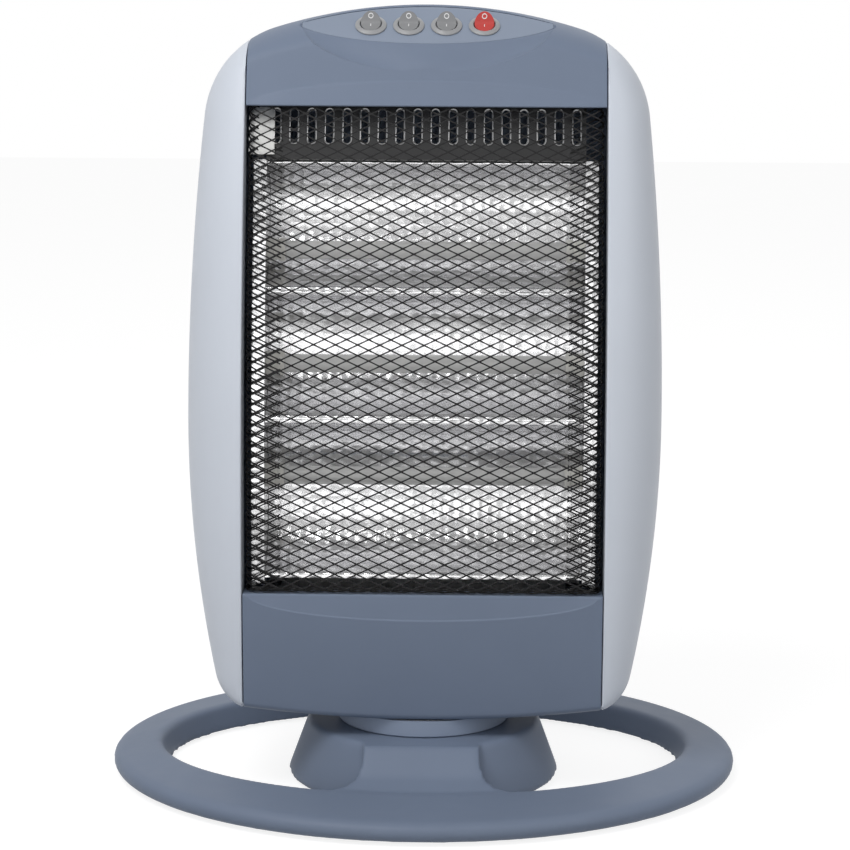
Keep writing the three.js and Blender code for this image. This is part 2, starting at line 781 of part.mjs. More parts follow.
// A bright trough behind one tube: flat brims, sloping cheeks and a flat back.
function reflector(index) {
  const middle = (ridgeHeights[index] + ridgeHeights[index + 1]) / 2;
  const half = (ridgeHeights[index + 1] - ridgeHeights[index] - gap) / 2;
  const share = [
    [1, 0],
    [0.93, 0],
    [0.86, 0.3],
    [0.72, 0.66],
    [0.5, 0.9],
    [0.22, 1],
  ];
  const upper = share.map(([up, deep]) => [up * half, deep * troughDepth]);
  const line = [...upper, ...upper.map(([up, deep]) => [-up, deep]).reverse()];
  const place = ([up, deep], thick) => {
    const z = middle + up;
    return [frontFace(z) + ridgeInset + deep + thick, z];
  };
  const near = line.map((p) => place(p, 0));
  const far = line.map((p) => place(p, sheet)).reverse();
  return profileAlongX([...near, ...far], [-reflectorHalfLength, reflectorHalfLength]);
}

const tubePlaces = tubeHeights.map((z) => ({ y: frontFace(z) + tubeInset, z }));

function endPlate(side) {
  const near = reflectorHalfLength + gap;
  const across = (x0, x1) => (side > 0 ? [x0, x1] : [-x1, -x0]);
  const heights = [lowestRidge - endPlateMargin, ventBottom - gap];
  const front = ridgeInset - 2;
  const web = bowedBand(across(near, near + sheet), [front, front + endPlateDepth], heights, 6);
  const flange = bowedBand(across(near, near + endFlangeWidth), [front, front + sheet], heights, 6);
  const span = across(near - 5, near + 20);
  const holes = tubePlaces.map(({ y, z }) => crosswise(holderRadius + gap, span, y, z));
  return cut(joined(web, flange), ...holes);
}

function holder(side, { y, z }) {
  const inner = tubeHalfLength - 4;
  const outer = inner + holderLength;
  const across = (x0, x1) => (side > 0 ? [x0, x1] : [-x1, -x0]);
  const socket = crosswise(tubeRadius + gap, across(inner - 1, tubeHalfLength + gap), y, z);
  return cut(crosswise(holderRadius, across(inner, outer), y, z), socket);
}

function heatShield() {
  const half = reflectorHalfLength;
  const heights = [lowestRidge - shieldMargin, ventBottom - gap];
  return bowedBand([-half, half], [shieldInset, shieldInset + sheet], heights, 8);
}

// ---------------------------------------------------------------- turning collar and drive

const bodySeat = bodyBottom - gap;
const platePlane = [bodySeat - swivelPlateThickness, bodySeat];
const bearingTop = platePlane[0] - runningGap;

const collar = () =>
  ring(collarRadius, collarRadius - collarWall, [pedestalTop + runningGap, bodySeat], { sides: 32 });
const bearing = () =>
  ring(bearingRadius, bearingRadius - bearingWidth, [pedestalTop + gap, bearingTop], { sides: 32 });

function swivelPlate() {
  const disc = upright(bearingRadius, platePlane, { sides: 32 });
  const inner = crankDistance - crankRadius * 0.28;
  const outer = crankDistance + crankRadius + crankPinRadius + runningGap;
  const slot = new THREE.Shape();
  slot.moveTo(-crankSlotHalfWidth, inner - crankSlotHalfWidth);
  slot.lineTo(crankSlotHalfWidth, inner - crankSlotHalfWidth);
  slot.lineTo(crankSlotHalfWidth, outer);
  slot.lineTo(-crankSlotHalfWidth, outer);
  const hole = upright(pivotRadius + runningGap, [40, 60]);
  return cut(disc, hole, planBetween(slot, [40, 60]));
}

const floorTop = bottomArc(floorHalfWidth) + panelWall + gap + chassisFloorThickness;

function chassisFloor() {
  const heights = [floorTop - chassisFloorThickness, floorTop];
  const plate = block([-floorHalfWidth, floorHalfWidth], floorDepths, heights);
  return cut(plate, upright(pivotRadius + runningGap, [40, 70]));
}

function pivotBolt() {
  const deckUnderside = pedestalTop - standWall;
  const shankTop = floorTop + runningGap + pivotNutHeight + 3;
  const shank = upright(pivotRadius, [deckUnderside - 1, shankTop], { sides: 24 });
  const head = upright(
    pivotHeadRadius,
    [deckUnderside - gap - pivotHeadHeight, deckUnderside - gap],
    { sides: 6 },
  );
  return joined(shank, head);
}

function pivotNut() {
  const heights = [floorTop + runningGap, floorTop + runningGap + pivotNutHeight];
  const thread = upright(pivotRadius + gap, [0, 90], { sides: 24 });
  return cut(upright(pivotNutRadius, heights, { sides: 6 }), thread);
}

function crank() {
  const heights = [pedestalTop + gap, pedestalTop + gap + crankThickness];
  const pinPlace = crankDistance + crankRadius;
  const halfArm = crankPinRadius + 1.5;
  const hub = upright(2 * motorShaftRadius, heights, { y: crankDistance, sides: 20 });
  const tip = upright(halfArm, heights, { y: pinPlace, sides: 16 });
  const arm = block([-halfArm, halfArm], [crankDistance, pinPlace], heights);
  const pin = upright(crankPinRadius, [heights[0], bodySeat - 0.5], { y: pinPlace, sides: 16 });
  const bore = upright(motorShaftRadius + gap, [0, 60], { y: crankDistance, sides: 20 });
  return cut(joined(hub, arm, tip, pin), bore);
}

function motor() {
  const top = pedestalTop - standWall - gap;
  const can = upright(motorRadius, [top - motorHeight, top], { y: crankDistance, sides: 32 });
  const shaftTop = pedestalTop + gap + crankThickness;
  const shaft = upright(motorShaftRadius, [top - 1, shaftTop], { y: crankDistance, sides: 20 });
  return joined(can, shaft);
}

// ---------------------------------------------------------------- stand

// The ring's cross-section, from its outer foot over the shoulder to its inner foot, thinned by a wall.
function ringForm(wall) {
  const foot = wall ? -2 : ringFoot;
  const rounded = [
    { share: 0, inset: 5, z: foot },
    { share: 0, inset: 0.6, z: 5.5 },
    { share: 0, inset: 0.3, z: 9.5 },
    { share: 0, inset: 3, z: 12.8 },
    { share: 0, inset: 9, z: ringShoulder },
    { share: 1, inset: -2.5, z: ringInnerEdge },
    { share: 1, inset: 0, z: ringInnerEdge - 1.5 },
    { share: 1, inset: holeFall, z: foot },
  ];
  const plain = [
    { share: 0, inset: 5 + wall, z: foot },
    { share: 0, inset: 9 + wall / 2, z: ringShoulder - wall },
    { share: 1, inset: -wall, z: ringInnerEdge - wall },
    { share: 1, inset: holeFall - wall, z: foot },
  ];
  const section = wall ? plain : rounded;
  const steps = 40;
  const rings = section.map(({ share, inset, z }) => {
    const semiX = ringOuterX + (ringInnerX - ringOuterX) * share - inset;
    const semiY = ringOuterY + (ringInnerY - ringOuterY) * share - inset;
    const points = [];
    for (let i = 0; i < steps; i += 1) {
      const turn = (2 * Math.PI * i) / steps;
      points.push(new THREE.Vector3(semiX * Math.cos(turn), semiY * Math.sin(turn) + ringSetback, z));
    }
    return points;
  });
  const positions = rings.flat().flatMap((p) => [p.x, p.y, p.z]);
  const faces = [];
  for (let k = 0; k < rings.length; k += 1) {
    const nextRing = (k + 1) % rings.length;
    for (let i = 0; i < steps; i += 1) {
      const next = (i + 1) % steps;
      const [a, b, c, d] = [k * steps + i, k * steps + next, nextRing * steps + next, nextRing * steps + i];
      faces.push(a, b, c, a, c, d);
    }
  }
  const geometry = new THREE.BufferGeometry();
  geometry.setAttribute('position', new THREE.Float32BufferAttribute(positions, 3));
  geometry.setIndex(signedVolume(positions, faces) > 0 ? faces : faces.reverse());
  return solid(geometry);
}

// The bridge runs from the front of the ring to its back, over the pedestal, narrow at the waist.
function bridgeForm(wall) {
  const foot = wall ? -2 : ringFoot;
  const holeEdge = (side) => side * ringInnerY + ringSetback;
  const ringReach = (side) => side * (ringOuterY - bridgeReach) + ringSetback;
  const ramp = (side) => [
    [ringReach(side), foot],
    [ringReach(side), ringFoot + 3],
    [holeEdge(side) - side * 4, ringInnerEdge - 0.8 - wall],
    [holeEdge(side) - side * 16, ringInnerEdge + 4.6 - wall],
    [side * pedestalTopRadius, pedestalTop - wall],
  ];
  const profile = [...ramp(1), ...ramp(-1).reverse()];
  const half = bridgeHalfWidth - wall;
  const radius = bridgeFlare + wall;
  const flareX = bridgeHalfWidth + bridgeFlare;
  const flareY = (side) => holeEdge(side) - side * (bridgeFlare + 6);
  const plan = new THREE.Shape();
  plan.moveTo(half, flareY(-1));
  plan.lineTo(half, flareY(1));
  plan.absarc(flareX, flareY(1), radius, Math.PI, Math.PI / 2, true);
  plan.lineTo(flareX + 20, holeEdge(1));
  plan.lineTo(flareX, ringReach(1));
  plan.lineTo(-flareX, ringReach(1));
  plan.lineTo(-flareX - 20, holeEdge(1));
  plan.absarc(-flareX, flareY(1), radius, Math.PI / 2, 0, true);
  plan.lineTo(-half, flareY(-1));
  plan.absarc(-flareX, flareY(-1), radius, 0, -Math.PI / 2, true);
  plan.lineTo(-flareX - 20, holeEdge(-1));
  plan.lineTo(-flareX, ringReach(-1));
  plan.lineTo(flareX, ringReach(-1));
  plan.lineTo(flareX + 20, holeEdge(-1));
  plan.absarc(flareX, flareY(-1), radius, -Math.PI / 2, -Math.PI, true);
  return profileAlongX(profile, [-100, 100]).intersect(planBetween(plan, [-5, 60]));
}

function pedestalForm(wall) {
  const foot = wall ? -2 : ringFoot;
  const profile = [
    [0, foot],
    [pedestalFootRadius - 1 - wall, foot],
    [pedestalFootRadius - wall, foot + 1.5],
    [pedestalTopRadius + 2 - wall, pedestalTop - 3 - wall],
    [pedestalTopRadius + 1.2 - wall, pedestalTop - 0.8 - wall],
    [pedestalTopRadius - 0.6 - wall, pedestalTop - wall],
    [0, pedestalTop - wall],
  ];
  const geometry = new THREE.LatheGeometry(profile.map(([r, z]) => new THREE.Vector2(r, z)), 36);
  geometry.applyMatrix4(along.z);
  return solid(geometry);
}

const footPlaces = [1, 3, 5, 7].map((eighth) => {
  const turn = eighth * footAngle;
  return {
    x: ((ringOuterX + ringInnerX) / 2) * Math.cos(turn),
    y: ((ringOuterY + ringInnerY) / 2) * Math.sin(turn) + ringSetback,
  };
});

function stand() {
  const outer = joined(ringForm(0), bridgeForm(0), pedestalForm(0));
  const inner = joined(ringForm(standWall), bridgeForm(standWall), pedestalForm(standWall));
  const bosses = footPlaces.map(({ x, y }) =>
    upright(footRadius - 2, [footHeight + gap, ringShoulder], { x, y, sides: 16 }));
  const body = joined(cut(outer, inner), ...bosses);
  const pivotHole = upright(pivotRadius + gap, [0, 60], { sides: 24 });
  const shaftHole = upright(motorShaftRadius + gap, [0, 60], { y: crankDistance, sides: 20 });
  return cut(body, pivotHole, shaftHole);
}

const foot = () => upright(footRadius, [0, footHeight], { sides: 20 });

// ---------------------------------------------------------------- small inner pieces

function tiltSwitch() {
  return block(tiltSwitchPlace.x, tiltSwitchPlace.y, [floorTop + gap, floorTop + gap + tiltSwitchHeight]);
}

function cordGland() {
  const y = backFace(glandPlace.z);
  const bar = (radius, y0, y1) => {
    const geometry = new THREE.CylinderGeometry(radius, radius, y1 - y0, 20);
    geometry.translate(glandPlace.x, (y0 + y1) / 2, glandPlace.z);
    return solid(geometry);
  };
  const body = joined(bar(glandRadius, y - 8, y + 2), bar(glandRadius + glandFlange, y + gap + 0.4, y + 3.4));
  return cut(body, bar(glandBore, y - 20, y + 20));
}

// ---------------------------------------------------------------- assembly

const heater = new THREE.Group();
const standGroup = new THREE.Group();
const bodyGroup = new THREE.Group();
standGroup.position.y = -ringSetback;
bodyGroup.position.y = -ringSetback;
heater.add(standGroup, bodyGroup);

function add(group, name, form, material, { x = 0, y = 0, z = 0, rotationX = 0 } = {}) {
  const mesh = new THREE.Mesh(geometryOf(form), material);
  mesh.name = name;
  mesh.position.set(x, y, z);
  mesh.rotation.x = rotationX;
  group.add(mesh);
}

add(standGroup, 'stand_base', stand(), bluePlastic);
footPlaces.forEach(({ x, y }, i) => add(standGroup, `rubber_foot_${i + 1}`, foot(), rubber, { x, y }));
add(standGroup, 'oscillation_motor', motor(), steel);
add(standGroup, 'crank', crank(), greyPlastic);
add(standGroup, 'bearing_ring', bearing(), greyPlastic);
add(standGroup, 'pivot_bolt', pivotBolt(), steel);
add(standGroup, 'pivot_nut', pivotNut(), steel);

add(bodyGroup, 'swivel_collar', collar(), bluePlastic);
add(bodyGroup, 'swivel_plate', swivelPlate(), steel);
add(bodyGroup, 'chassis_floor', chassisFloor(), steel);
add(bodyGroup, 'front_top_panel', topPanel(), bluePlastic);
add(bodyGroup, 'front_bottom_panel', bottomPanel(), bluePlastic);
add(bodyGroup, 'left_side_panel', sidePanel(-1), silverPlastic);
add(bodyGroup, 'right_side_panel', sidePanel(1), silverPlastic);
add(bodyGroup, 'rear_housing', rearHousing(), bluePlastic);
add(bodyGroup, 'control_panel', cut(
  onFacet(lensShape(gap), [-lensThickness, 0]),
  ...switchPlaces.map((x) => facetBar(x, barrelRadius + gap, [-20, 5])),
), bluePlastic);

const rockerNames = ['oscillation', 'heat_low', 'heat_high', 'power'];
switchPlaces.forEach((x, i) => {
  const seat = facetPoint(switchSlope, rockerPivot);
  add(bodyGroup, `switch_body_${rockerNames[i]}`, switchBody(x), greyPlastic);
  add(bodyGroup, `rocker_${rockerNames[i]}`, rocker(), i === 3 ? redPlastic : greyPlastic, {
    x,
    ...seat,
    rotationX: facetSlope + rockerTilt,
  });
});

add(bodyGroup, 'mesh_guard', guard(), blackWire);
add(bodyGroup, 'vent_strip', ventStrip(), blackPlastic);
['lower', 'middle', 'upper'].forEach((level, i) => {
  add(bodyGroup, `reflector_${level}`, reflector(i), brightAluminium);
  const tube = crosswise(tubeRadius, [-tubeHalfLength, tubeHalfLength], tubePlaces[i].y, tubePlaces[i].z);
  add(bodyGroup, `halogen_tube_${level}`, tube, quartz);
  add(bodyGroup, `tube_holder_left_${level}`, holder(-1, tubePlaces[i]), ceramic);
  add(bodyGroup, `tube_holder_right_${level}`, holder(1, tubePlaces[i]), ceramic);
});
add(bodyGroup, 'left_end_plate', endPlate(-1), brightAluminium);
add(bodyGroup, 'right_end_plate', endPlate(1), brightAluminium);
add(bodyGroup, 'heat_shield', heatShield(), steel);
add(bodyGroup, 'tilt_switch', tiltSwitch(), blackPlastic);
add(bodyGroup, 'cord_gland', cordGland(), blackPlastic);

export default heater;
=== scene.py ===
import math
import bmesh
import bpy
import numpy as np
from mathutils import Euler, Matrix, Vector


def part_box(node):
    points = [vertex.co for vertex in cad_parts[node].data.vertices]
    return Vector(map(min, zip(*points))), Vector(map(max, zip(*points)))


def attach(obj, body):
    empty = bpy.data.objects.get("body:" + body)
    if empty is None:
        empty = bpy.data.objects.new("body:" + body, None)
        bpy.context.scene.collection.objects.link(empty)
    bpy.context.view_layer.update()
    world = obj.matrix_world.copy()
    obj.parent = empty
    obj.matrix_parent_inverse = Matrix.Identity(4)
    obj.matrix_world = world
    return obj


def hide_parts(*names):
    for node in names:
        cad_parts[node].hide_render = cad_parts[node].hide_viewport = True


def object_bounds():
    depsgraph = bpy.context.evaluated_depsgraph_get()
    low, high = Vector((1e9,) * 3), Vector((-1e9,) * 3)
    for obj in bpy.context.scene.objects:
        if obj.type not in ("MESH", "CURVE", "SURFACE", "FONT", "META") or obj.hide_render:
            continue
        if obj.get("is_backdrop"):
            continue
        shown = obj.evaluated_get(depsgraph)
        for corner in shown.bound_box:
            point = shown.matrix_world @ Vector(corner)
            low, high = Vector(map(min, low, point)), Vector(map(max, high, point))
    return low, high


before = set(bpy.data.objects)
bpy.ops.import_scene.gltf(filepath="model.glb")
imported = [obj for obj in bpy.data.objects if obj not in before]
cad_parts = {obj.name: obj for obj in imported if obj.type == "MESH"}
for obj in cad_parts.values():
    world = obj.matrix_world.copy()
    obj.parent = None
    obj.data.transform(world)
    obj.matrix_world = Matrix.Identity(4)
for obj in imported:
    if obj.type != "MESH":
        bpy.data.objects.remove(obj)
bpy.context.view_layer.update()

# ------------------------------------------------------------------ camera
# The photograph's view: a long lens two metres off, a little above the heater and a degree to its right.
photo_width = 850
focal_pixels = 3100
sensor_width = 36.0
camera_distance = 1.96
camera_azimuth = math.radians(1.0)
camera_elevation = math.radians(10.5)
camera_roll = math.radians(0.3)
looked_at = Vector((0, -0.0163, 0.2275))

camera = bpy.data.objects.new("photograph_camera", bpy.data.cameras.new("photograph_camera"))
bpy.context.collection.objects.link(camera)
camera.data.sensor_width = sensor_width
camera.data.lens = focal_pixels / photo_width * sensor_width
outward = Vector((
    math.sin(camera_azimuth) * math.cos(camera_elevation),
    -math.cos(camera_azimuth) * math.cos(camera_elevation),
    math.sin(camera_elevation),
))
facing = outward.to_track_quat("Z", "Y").to_matrix().to_4x4()
camera.matrix_world = (
    Matrix.Translation(looked_at + outward * camera_distance) @ facing @ Matrix.Rotation(camera_roll, 4, "Z")
)
bpy.context.scene.camera = camera


# ------------------------------------------------------------------ floor and light
# A white product studio: a pale floor, an even white room, a broad soft lamp at the upper left and
# weaker ones at the right, in front and behind.
def node(tree, kind, inputs=None, **settings):
    made = tree.nodes.new(kind)
    for key, value in settings.items():
        setattr(made, key, value)
    for key, value in (inputs or {}).items():
        if isinstance(value, bpy.types.NodeSocket):
            tree.links.new(value, made.inputs[key])
        else:
            made.inputs[key].default_value = value
    return made


def background_rays(tree):
    """1 for the rays that see the room as a background, and 0 for those that light the object."""
    path = node(tree, "ShaderNodeLightPath")
    seen = node(tree, "ShaderNodeMath", {0: path.outputs["Is Camera Ray"], 1: path.outputs["Is Glossy Ray"]},
                operation="MAXIMUM")
    through = node(tree, "ShaderNodeMath", {0: seen.outputs[0], 1: path.outputs["Is Transmission Ray"]},
                   operation="MAXIMUM")
    return through.outputs[0]


white = (1, 1, 1, 1)
room_light = 0.4
floor_tint = (0.5, 0.5, 0.5, 1)
shadow_tint = (0.3, 0.3, 0.3, 1)
floor_glow = 0.84
floor_size = 8.0

bpy.context.scene.view_settings.view_transform = "Standard"
room = bpy.data.worlds.new("studio_room")
room.use_nodes = True
room.node_tree.nodes.clear()
room_lights = node(room.node_tree, "ShaderNodeBackground", {"Color": white, "Strength": room_light})
room_seen = node(room.node_tree, "ShaderNodeBackground", {"Color": white, "Strength": 1.0})
room_mix = node(room.node_tree, "ShaderNodeMixShader", {
    0: background_rays(room.node_tree), 1: room_lights.outputs[0], 2: room_seen.outputs[0],
})
node(room.node_tree, "ShaderNodeOutputWorld", {"Surface": room_mix.outputs[0]})
bpy.context.scene.world = room

floor_finish = bpy.data.materials.new("studio_floor")
floor_finish.use_nodes = True
floor_finish.node_tree.nodes.clear()
floor_tree = floor_finish.node_tree
floor_matt = node(floor_tree, "ShaderNodeBsdfDiffuse", {"Color": floor_tint})
floor_shaded = node(floor_tree, "ShaderNodeBsdfDiffuse", {"Color": shadow_tint})
floor_light = node(floor_tree, "ShaderNodeEmission", {"Color": white, "Strength": floor_glow})
floor_seen = node(floor_tree, "ShaderNodeAddShader", {0: floor_shaded.outputs[0], 1: floor_light.outputs[0]})
floor_mix = node(floor_tree, "ShaderNodeMixShader", {
    0: background_rays(floor_tree), 1: floor_matt.outputs[0], 2: floor_seen.outputs[0],
})
node(floor_tree, "ShaderNodeOutputMaterial", {"Surface": floor_mix.outputs[0]})

floor_mesh = bpy.data.meshes.new("studio_floor")
half_floor = floor_size / 2
floor_mesh.from_pydata(
    [(-half_floor, -half_floor, 0), (half_floor, -half_floor, 0), (half_floor, half_floor, 0),
     (-half_floor, half_floor, 0)], [], [(0, 1, 2, 3)],
)
floor_mesh.materials.append(floor_finish)
floor = bpy.data.objects.new("studio_floor", floor_mesh)
bpy.context.collection.objects.link(floor)
floor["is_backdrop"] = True


def soft_lamp(name, place, size, watts):
    lamp = bpy.data.lights.new(name, "AREA")
    lamp.shape = "DISK"
    lamp.size = size
    lamp.energy = watts
    made = bpy.data.objects.new(name, lamp)
    made.location = place
    made.rotation_euler = (Vector(place) - looked_at).to_track_quat("Z", "Y").to_euler()
    bpy.context.collection.objects.link(made)


soft_lamp("upper_left_lamp", (-0.65, -0.9, 1.7), 0.9, 15)
soft_lamp("right_lamp", (1.9, -1.3, 1.5), 1.4, 8)
soft_lamp("front_lamp", (-0.5, -2.6, 0.6), 1.6, 9)
soft_lamp("back_lamp", (0.3, 1.9, 1.6), 1.2, 2)


# ------------------------------------------------------------------ stand
# One blue-grey moulding: an oval ring on the floor, a ramp across it from front to back, and a cone in
# the middle that carries the heater. Its edges are all softly rounded by the mould. Shapes are worked out
# in millimetres around the axis that the body turns about, and moved into the shared frame when finished.
mm = 0.001
turning_axis = -16.3
ring_outer = (201, 174)
ring_inner = (169.3, 120.3)
ring_foot = 2
ring_shoulder = 14.5
ring_inner_edge = 18
stand_wall = 3
pedestal_top = 38
pedestal_top_radius = 73
pedestal_foot_radius = 86.5
bridge_half_width = 36
bridge_flare = 24
bridge_reach = 20
pivot_radius = 5
stand_voxel = 2.0
stand_smoothing = 6


def piece_from(name, points, faces):
    mesh = bpy.data.meshes.new(name)
    mesh.from_pydata((np.asarray(points, float) * mm).tolist(), [], faces)
    mesh.update()
    made = bpy.data.objects.new(name, mesh)
    bpy.context.collection.objects.link(made)
    return made


def clean(piece, gap=0.002):
    """Merges the points that meet and turns all faces outwards."""
    work = bmesh.new()
    work.from_mesh(piece.data)
    bmesh.ops.remove_doubles(work, verts=work.verts, dist=gap * mm)
    bmesh.ops.dissolve_degenerate(work, edges=work.edges, dist=gap * mm)
    bmesh.ops.recalc_face_normals(work, faces=work.faces)
    work.to_mesh(piece.data)
    work.free()
    return piece


def shade(piece, crease=32):
    """Smooth shading, apart from edges that turn by more than the crease angle."""
    work = bmesh.new()
    work.from_mesh(piece.data)
    for face in work.faces:
        face.smooth = True
    for edge in work.edges:
        edge.smooth = len(edge.link_faces) == 2 and edge.calc_face_angle(0) < math.radians(crease)
    work.to_mesh(piece.data)
    work.free()
    return piece


def baked(piece):
    """The piece with its modifiers made part of its mesh."""
    bpy.context.view_layer.update()
    result = bpy.data.meshes.new_from_object(piece.evaluated_get(bpy.context.evaluated_depsgraph_get()))
    piece.modifiers.clear()
    piece.data = result
    result.name = piece.name
    return piece


def fit(piece, body, slot, finish, *nodes, crease=32):
    """Gives the piece its finish and its body, and lets it stand for its CAD nodes. The slot is not used."""
    if finish:
        piece.data.materials.clear()
        piece.data.materials.append(finish)
    piece.data.transform(Matrix.Translation((0, turning_axis * mm, 0)))
    shade(piece, crease)
    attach(piece, body)
    if nodes:
        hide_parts(*nodes)
    return piece


def cad_box(node_name):
    """A CAD node's lowest and highest corner, in millimetres from the turning axis."""
    return [corner / mm - Vector((0, turning_axis, 0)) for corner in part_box(node_name)]


def loops_closed(name, loops):
    """A torus-like skin through closed loops, the last loop joined to the first."""
    loops = np.asarray(loops)
    rows, count = loops.shape[:2]
    faces = []
    for k in range(rows):
        this, other = k * count, (k + 1) % rows * count
        for i in range(count):
            after = (i + 1) % count
            faces.append((this + i, this + after, other + after, other + i))
    return clean(piece_from(name, loops.reshape(-1, 3), faces))


def turned(name, profile, steps, place):
    """A profile of (radius, height) points turned about a line. Its ends lie on the line or meet, and place
    gives the point for two offsets from the line and a height."""
    turns = np.arange(steps) * 2 * math.pi / steps
    points = [place(r * math.cos(a), r * math.sin(a), height) for a in turns for r, height in profile]
    count = len(profile)
    faces = []
    for k in range(steps):
        this, other = k * count, (k + 1) % steps * count
        faces += [(this + i, other + i, other + i + 1, this + i + 1) for i in range(count - 1)]
    return clean(piece_from(name, points, faces))


def lathe(name, profile, steps=96, centre=(0, 0)):
    """A profile turned about a vertical line."""
    return turned(name, profile, steps, lambda u, v, z: (centre[0] + u, centre[1] + v, z))


def combine(piece, others, operation):
    """Joins or cuts the piece with others, which are used up."""
    for other in others:
        change = piece.modifiers.new(operation, "BOOLEAN")
        change.operation = operation
        change.solver = "MANIFOLD"
        change.object = other
        baked(piece)
        bpy.data.objects.remove(other)
    return piece


def ring_skin(name, section):
    """The oval ring with a section of (share from outer to inner edge, inset, height) points."""
    turns = np.arange(192) * 2 * math.pi / 192
    loops = []
    for share, inset, z in section:
        semi = [ring_outer[k] + (ring_inner[k] - ring_outer[k]) * share - inset for k in range(2)]
        loops.append(np.stack([
            semi[0] * np.cos(turns), semi[1] * np.sin(turns) - turning_axis, np.full(len(turns), z),
        ], axis=1))
    return loops_closed(name, loops)


def bar_between(name, near, far):
    """A straight bar between two end faces, each given by its points in the same order."""
    count = len(near)
    faces = [(i, (i + 1) % count, count + (i + 1) % count, count + i) for i in range(count)]
    faces += [tuple(range(count)), tuple(range(2 * count - 1, count - 1, -1))]
    return clean(piece_from(name, [*near, *far], faces))


def arc(centre, radius, start, end, steps=12):
    angles = np.linspace(start, end, steps + 1)
    return [(centre[0] + radius * math.cos(a), centre[1] + radius * math.sin(a)) for a in angles]


def bridge(name, wall):
    """The cross ramp: a profile that rises from both ends of the ring, in a plan that flares into the ring."""
    foot = -2 if wall else ring_foot
    ramps, plans = [], []
    for side in (-1, 1):
        hole_edge = side * ring_inner[1] - turning_axis
        reach = side * (ring_outer[1] - bridge_reach) - turning_axis
        ramps.append([
            (reach, foot), (reach, ring_foot + 3), (hole_edge - side * 4, 17.2 - wall),
            (hole_edge - side * 16, 22.6 - wall), (side * pedestal_top_radius, pedestal_top - wall),
        ])
        corner = (bridge_half_width + bridge_flare, hole_edge - side * 30)
        flare = arc(corner, bridge_flare + wall, side * math.pi, side * math.pi / 2)
        plans.append([
            (bridge_half_width - wall, 0), *flare, (corner[0] + 20, hole_edge), (corner[0], reach),
        ])
    near, far = plans
    plan = far + [(-x, y) for x, y in far[::-1]] + [(-x, y) for x, y in near[1:]] + near[:0:-1]
    ramp = ramps[0] + ramps[1][::-1]
    form = bar_between(name, *[[(x, y, z) for y, z in ramp] for x in (-100, 100)])
    upright = bar_between("bridge_plan", *[[(x, y, z) for x, y in plan] for z in (-5, 60)])
    return combine(form, [upright], "INTERSECT")


def pedestal(name, wall):
    foot = -2 if wall else ring_foot
    return lathe(name, [
        (0, foot), (pedestal_foot_radius - 1 - wall, foot), (pedestal_foot_radius - wall, foot + 1.5),
        (pedestal_top_radius + 2 - wall, pedestal_top - 3 - wall),
        (pedestal_top_radius + 1.2 - wall, pedestal_top - 0.8 - wall),
        (pedestal_top_radius - 0.6 - wall, pedestal_top - wall), (0, pedestal_top - wall),
    ])


def new_finish(name, **constants):
    """A material with its node tree, its shader and the place on the object that its patterns follow."""
    made = bpy.data.materials.new(name)
    made.use_nodes = True
    tree = made.node_tree
    shader = tree.nodes["Principled BSDF"]
    for socket, value in constants.items():
        shader.inputs[socket.replace("_", " ")].default_value = value
    return made, tree, shader, node(tree, "ShaderNodeTexCoord").outputs["Object"]


def noise(tree, place, scale, detail, roughness=0.5):
    return node(tree, "ShaderNodeTexNoise", {
        "Vector": place, "Scale": scale, "Detail": detail, "Roughness": roughness,
    }).outputs[0]


def cloudy_colour(tree, shader, pattern, dark, light):
    tint = node(tree, "ShaderNodeMix", {0: pattern, 6: (*dark, 1), 7: (*light, 1)}, data_type="RGBA")
    tree.links.new(tint.outputs[2], shader.inputs["Base Color"])


def uneven_gloss(tree, shader, pattern, smoothest, roughest):
    gloss = node(tree, "ShaderNodeMapRange", {0: pattern, 3: smoothest, 4: roughest})
    tree.links.new(gloss.outputs[0], shader.inputs["Roughness"])


def fine_relief(tree, shader, pattern, strength, distance=0.0002):
    bump = node(tree, "ShaderNodeBump", {"Strength": strength, "Distance": distance, "Height": pattern})
    tree.links.new(bump.outputs[0], shader.inputs["Normal"])


def moulded_plastic(name, colour, roughness, grain=0.12, mottle=0.06, specular=0.45):
    """Injection-moulded plastic: faint cloudy colour, a fine satin grain and slightly uneven gloss."""
    made, tree, shader, place = new_finish(name, Specular_IOR_Level=specular)
    dark, light = [c * (1 - mottle) for c in colour], [min(1, c * (1 + mottle)) for c in colour]
    cloudy_colour(tree, shader, noise(tree, place, 14.0, 4.0, 0.6), dark, light)
    uneven_gloss(tree, shader, noise(tree, place, 60.0, 3.0), roughness - 0.05, roughness + 0.06)
    fine_relief(tree, shader, noise(tree, place, 2600.0, 1.0), grain)
    return made


def srgb(red, green, blue):
    """The linear colour of a colour that is given as it looks on a screen, 0 to 255."""
    return tuple(
        c / 3294.6 if c <= 10.3 else ((c / 255 + 0.055) / 1.055) ** 2.4 for c in (red, green, blue)
    )


blue_plastic = moulded_plastic("blue_grey_plastic", srgb(113, 125, 145), 0.5, specular=0.25)

hole_fall = 5
ring_section = [
    (0, 5, ring_foot), (0, 2.2, 3.4), (0, 0.7, 5.5), (0, 0.3, 7.6), (0, 0.6, 9.8), (0, 1.6, 11.6),
    (0, 3.6, 13.1), (0, 6.2, 14.0), (0, 9, ring_shoulder), (1, -2.5, ring_inner_edge), (1, -0.8, 17.6),
    (1, 0, 16.5), (1, hole_fall, ring_foot),
]
hollow_section = [
    (0, 5 + stand_wall, -2), (0, 9 + stand_wall / 2, ring_shoulder - stand_wall),
    (1, -stand_wall, ring_inner_edge - stand_wall), (1, hole_fall - stand_wall, -2),
]
stand = ring_skin("stand", ring_section)
combine(stand, [bridge("bridge", 0), pedestal("pedestal", 0)], "UNION")
combine(stand, [
    ring_skin("ring_hollow", hollow_section), bridge("bridge_hollow", stand_wall),
    pedestal("cone_hollow", stand_wall),
], "DIFFERENCE")
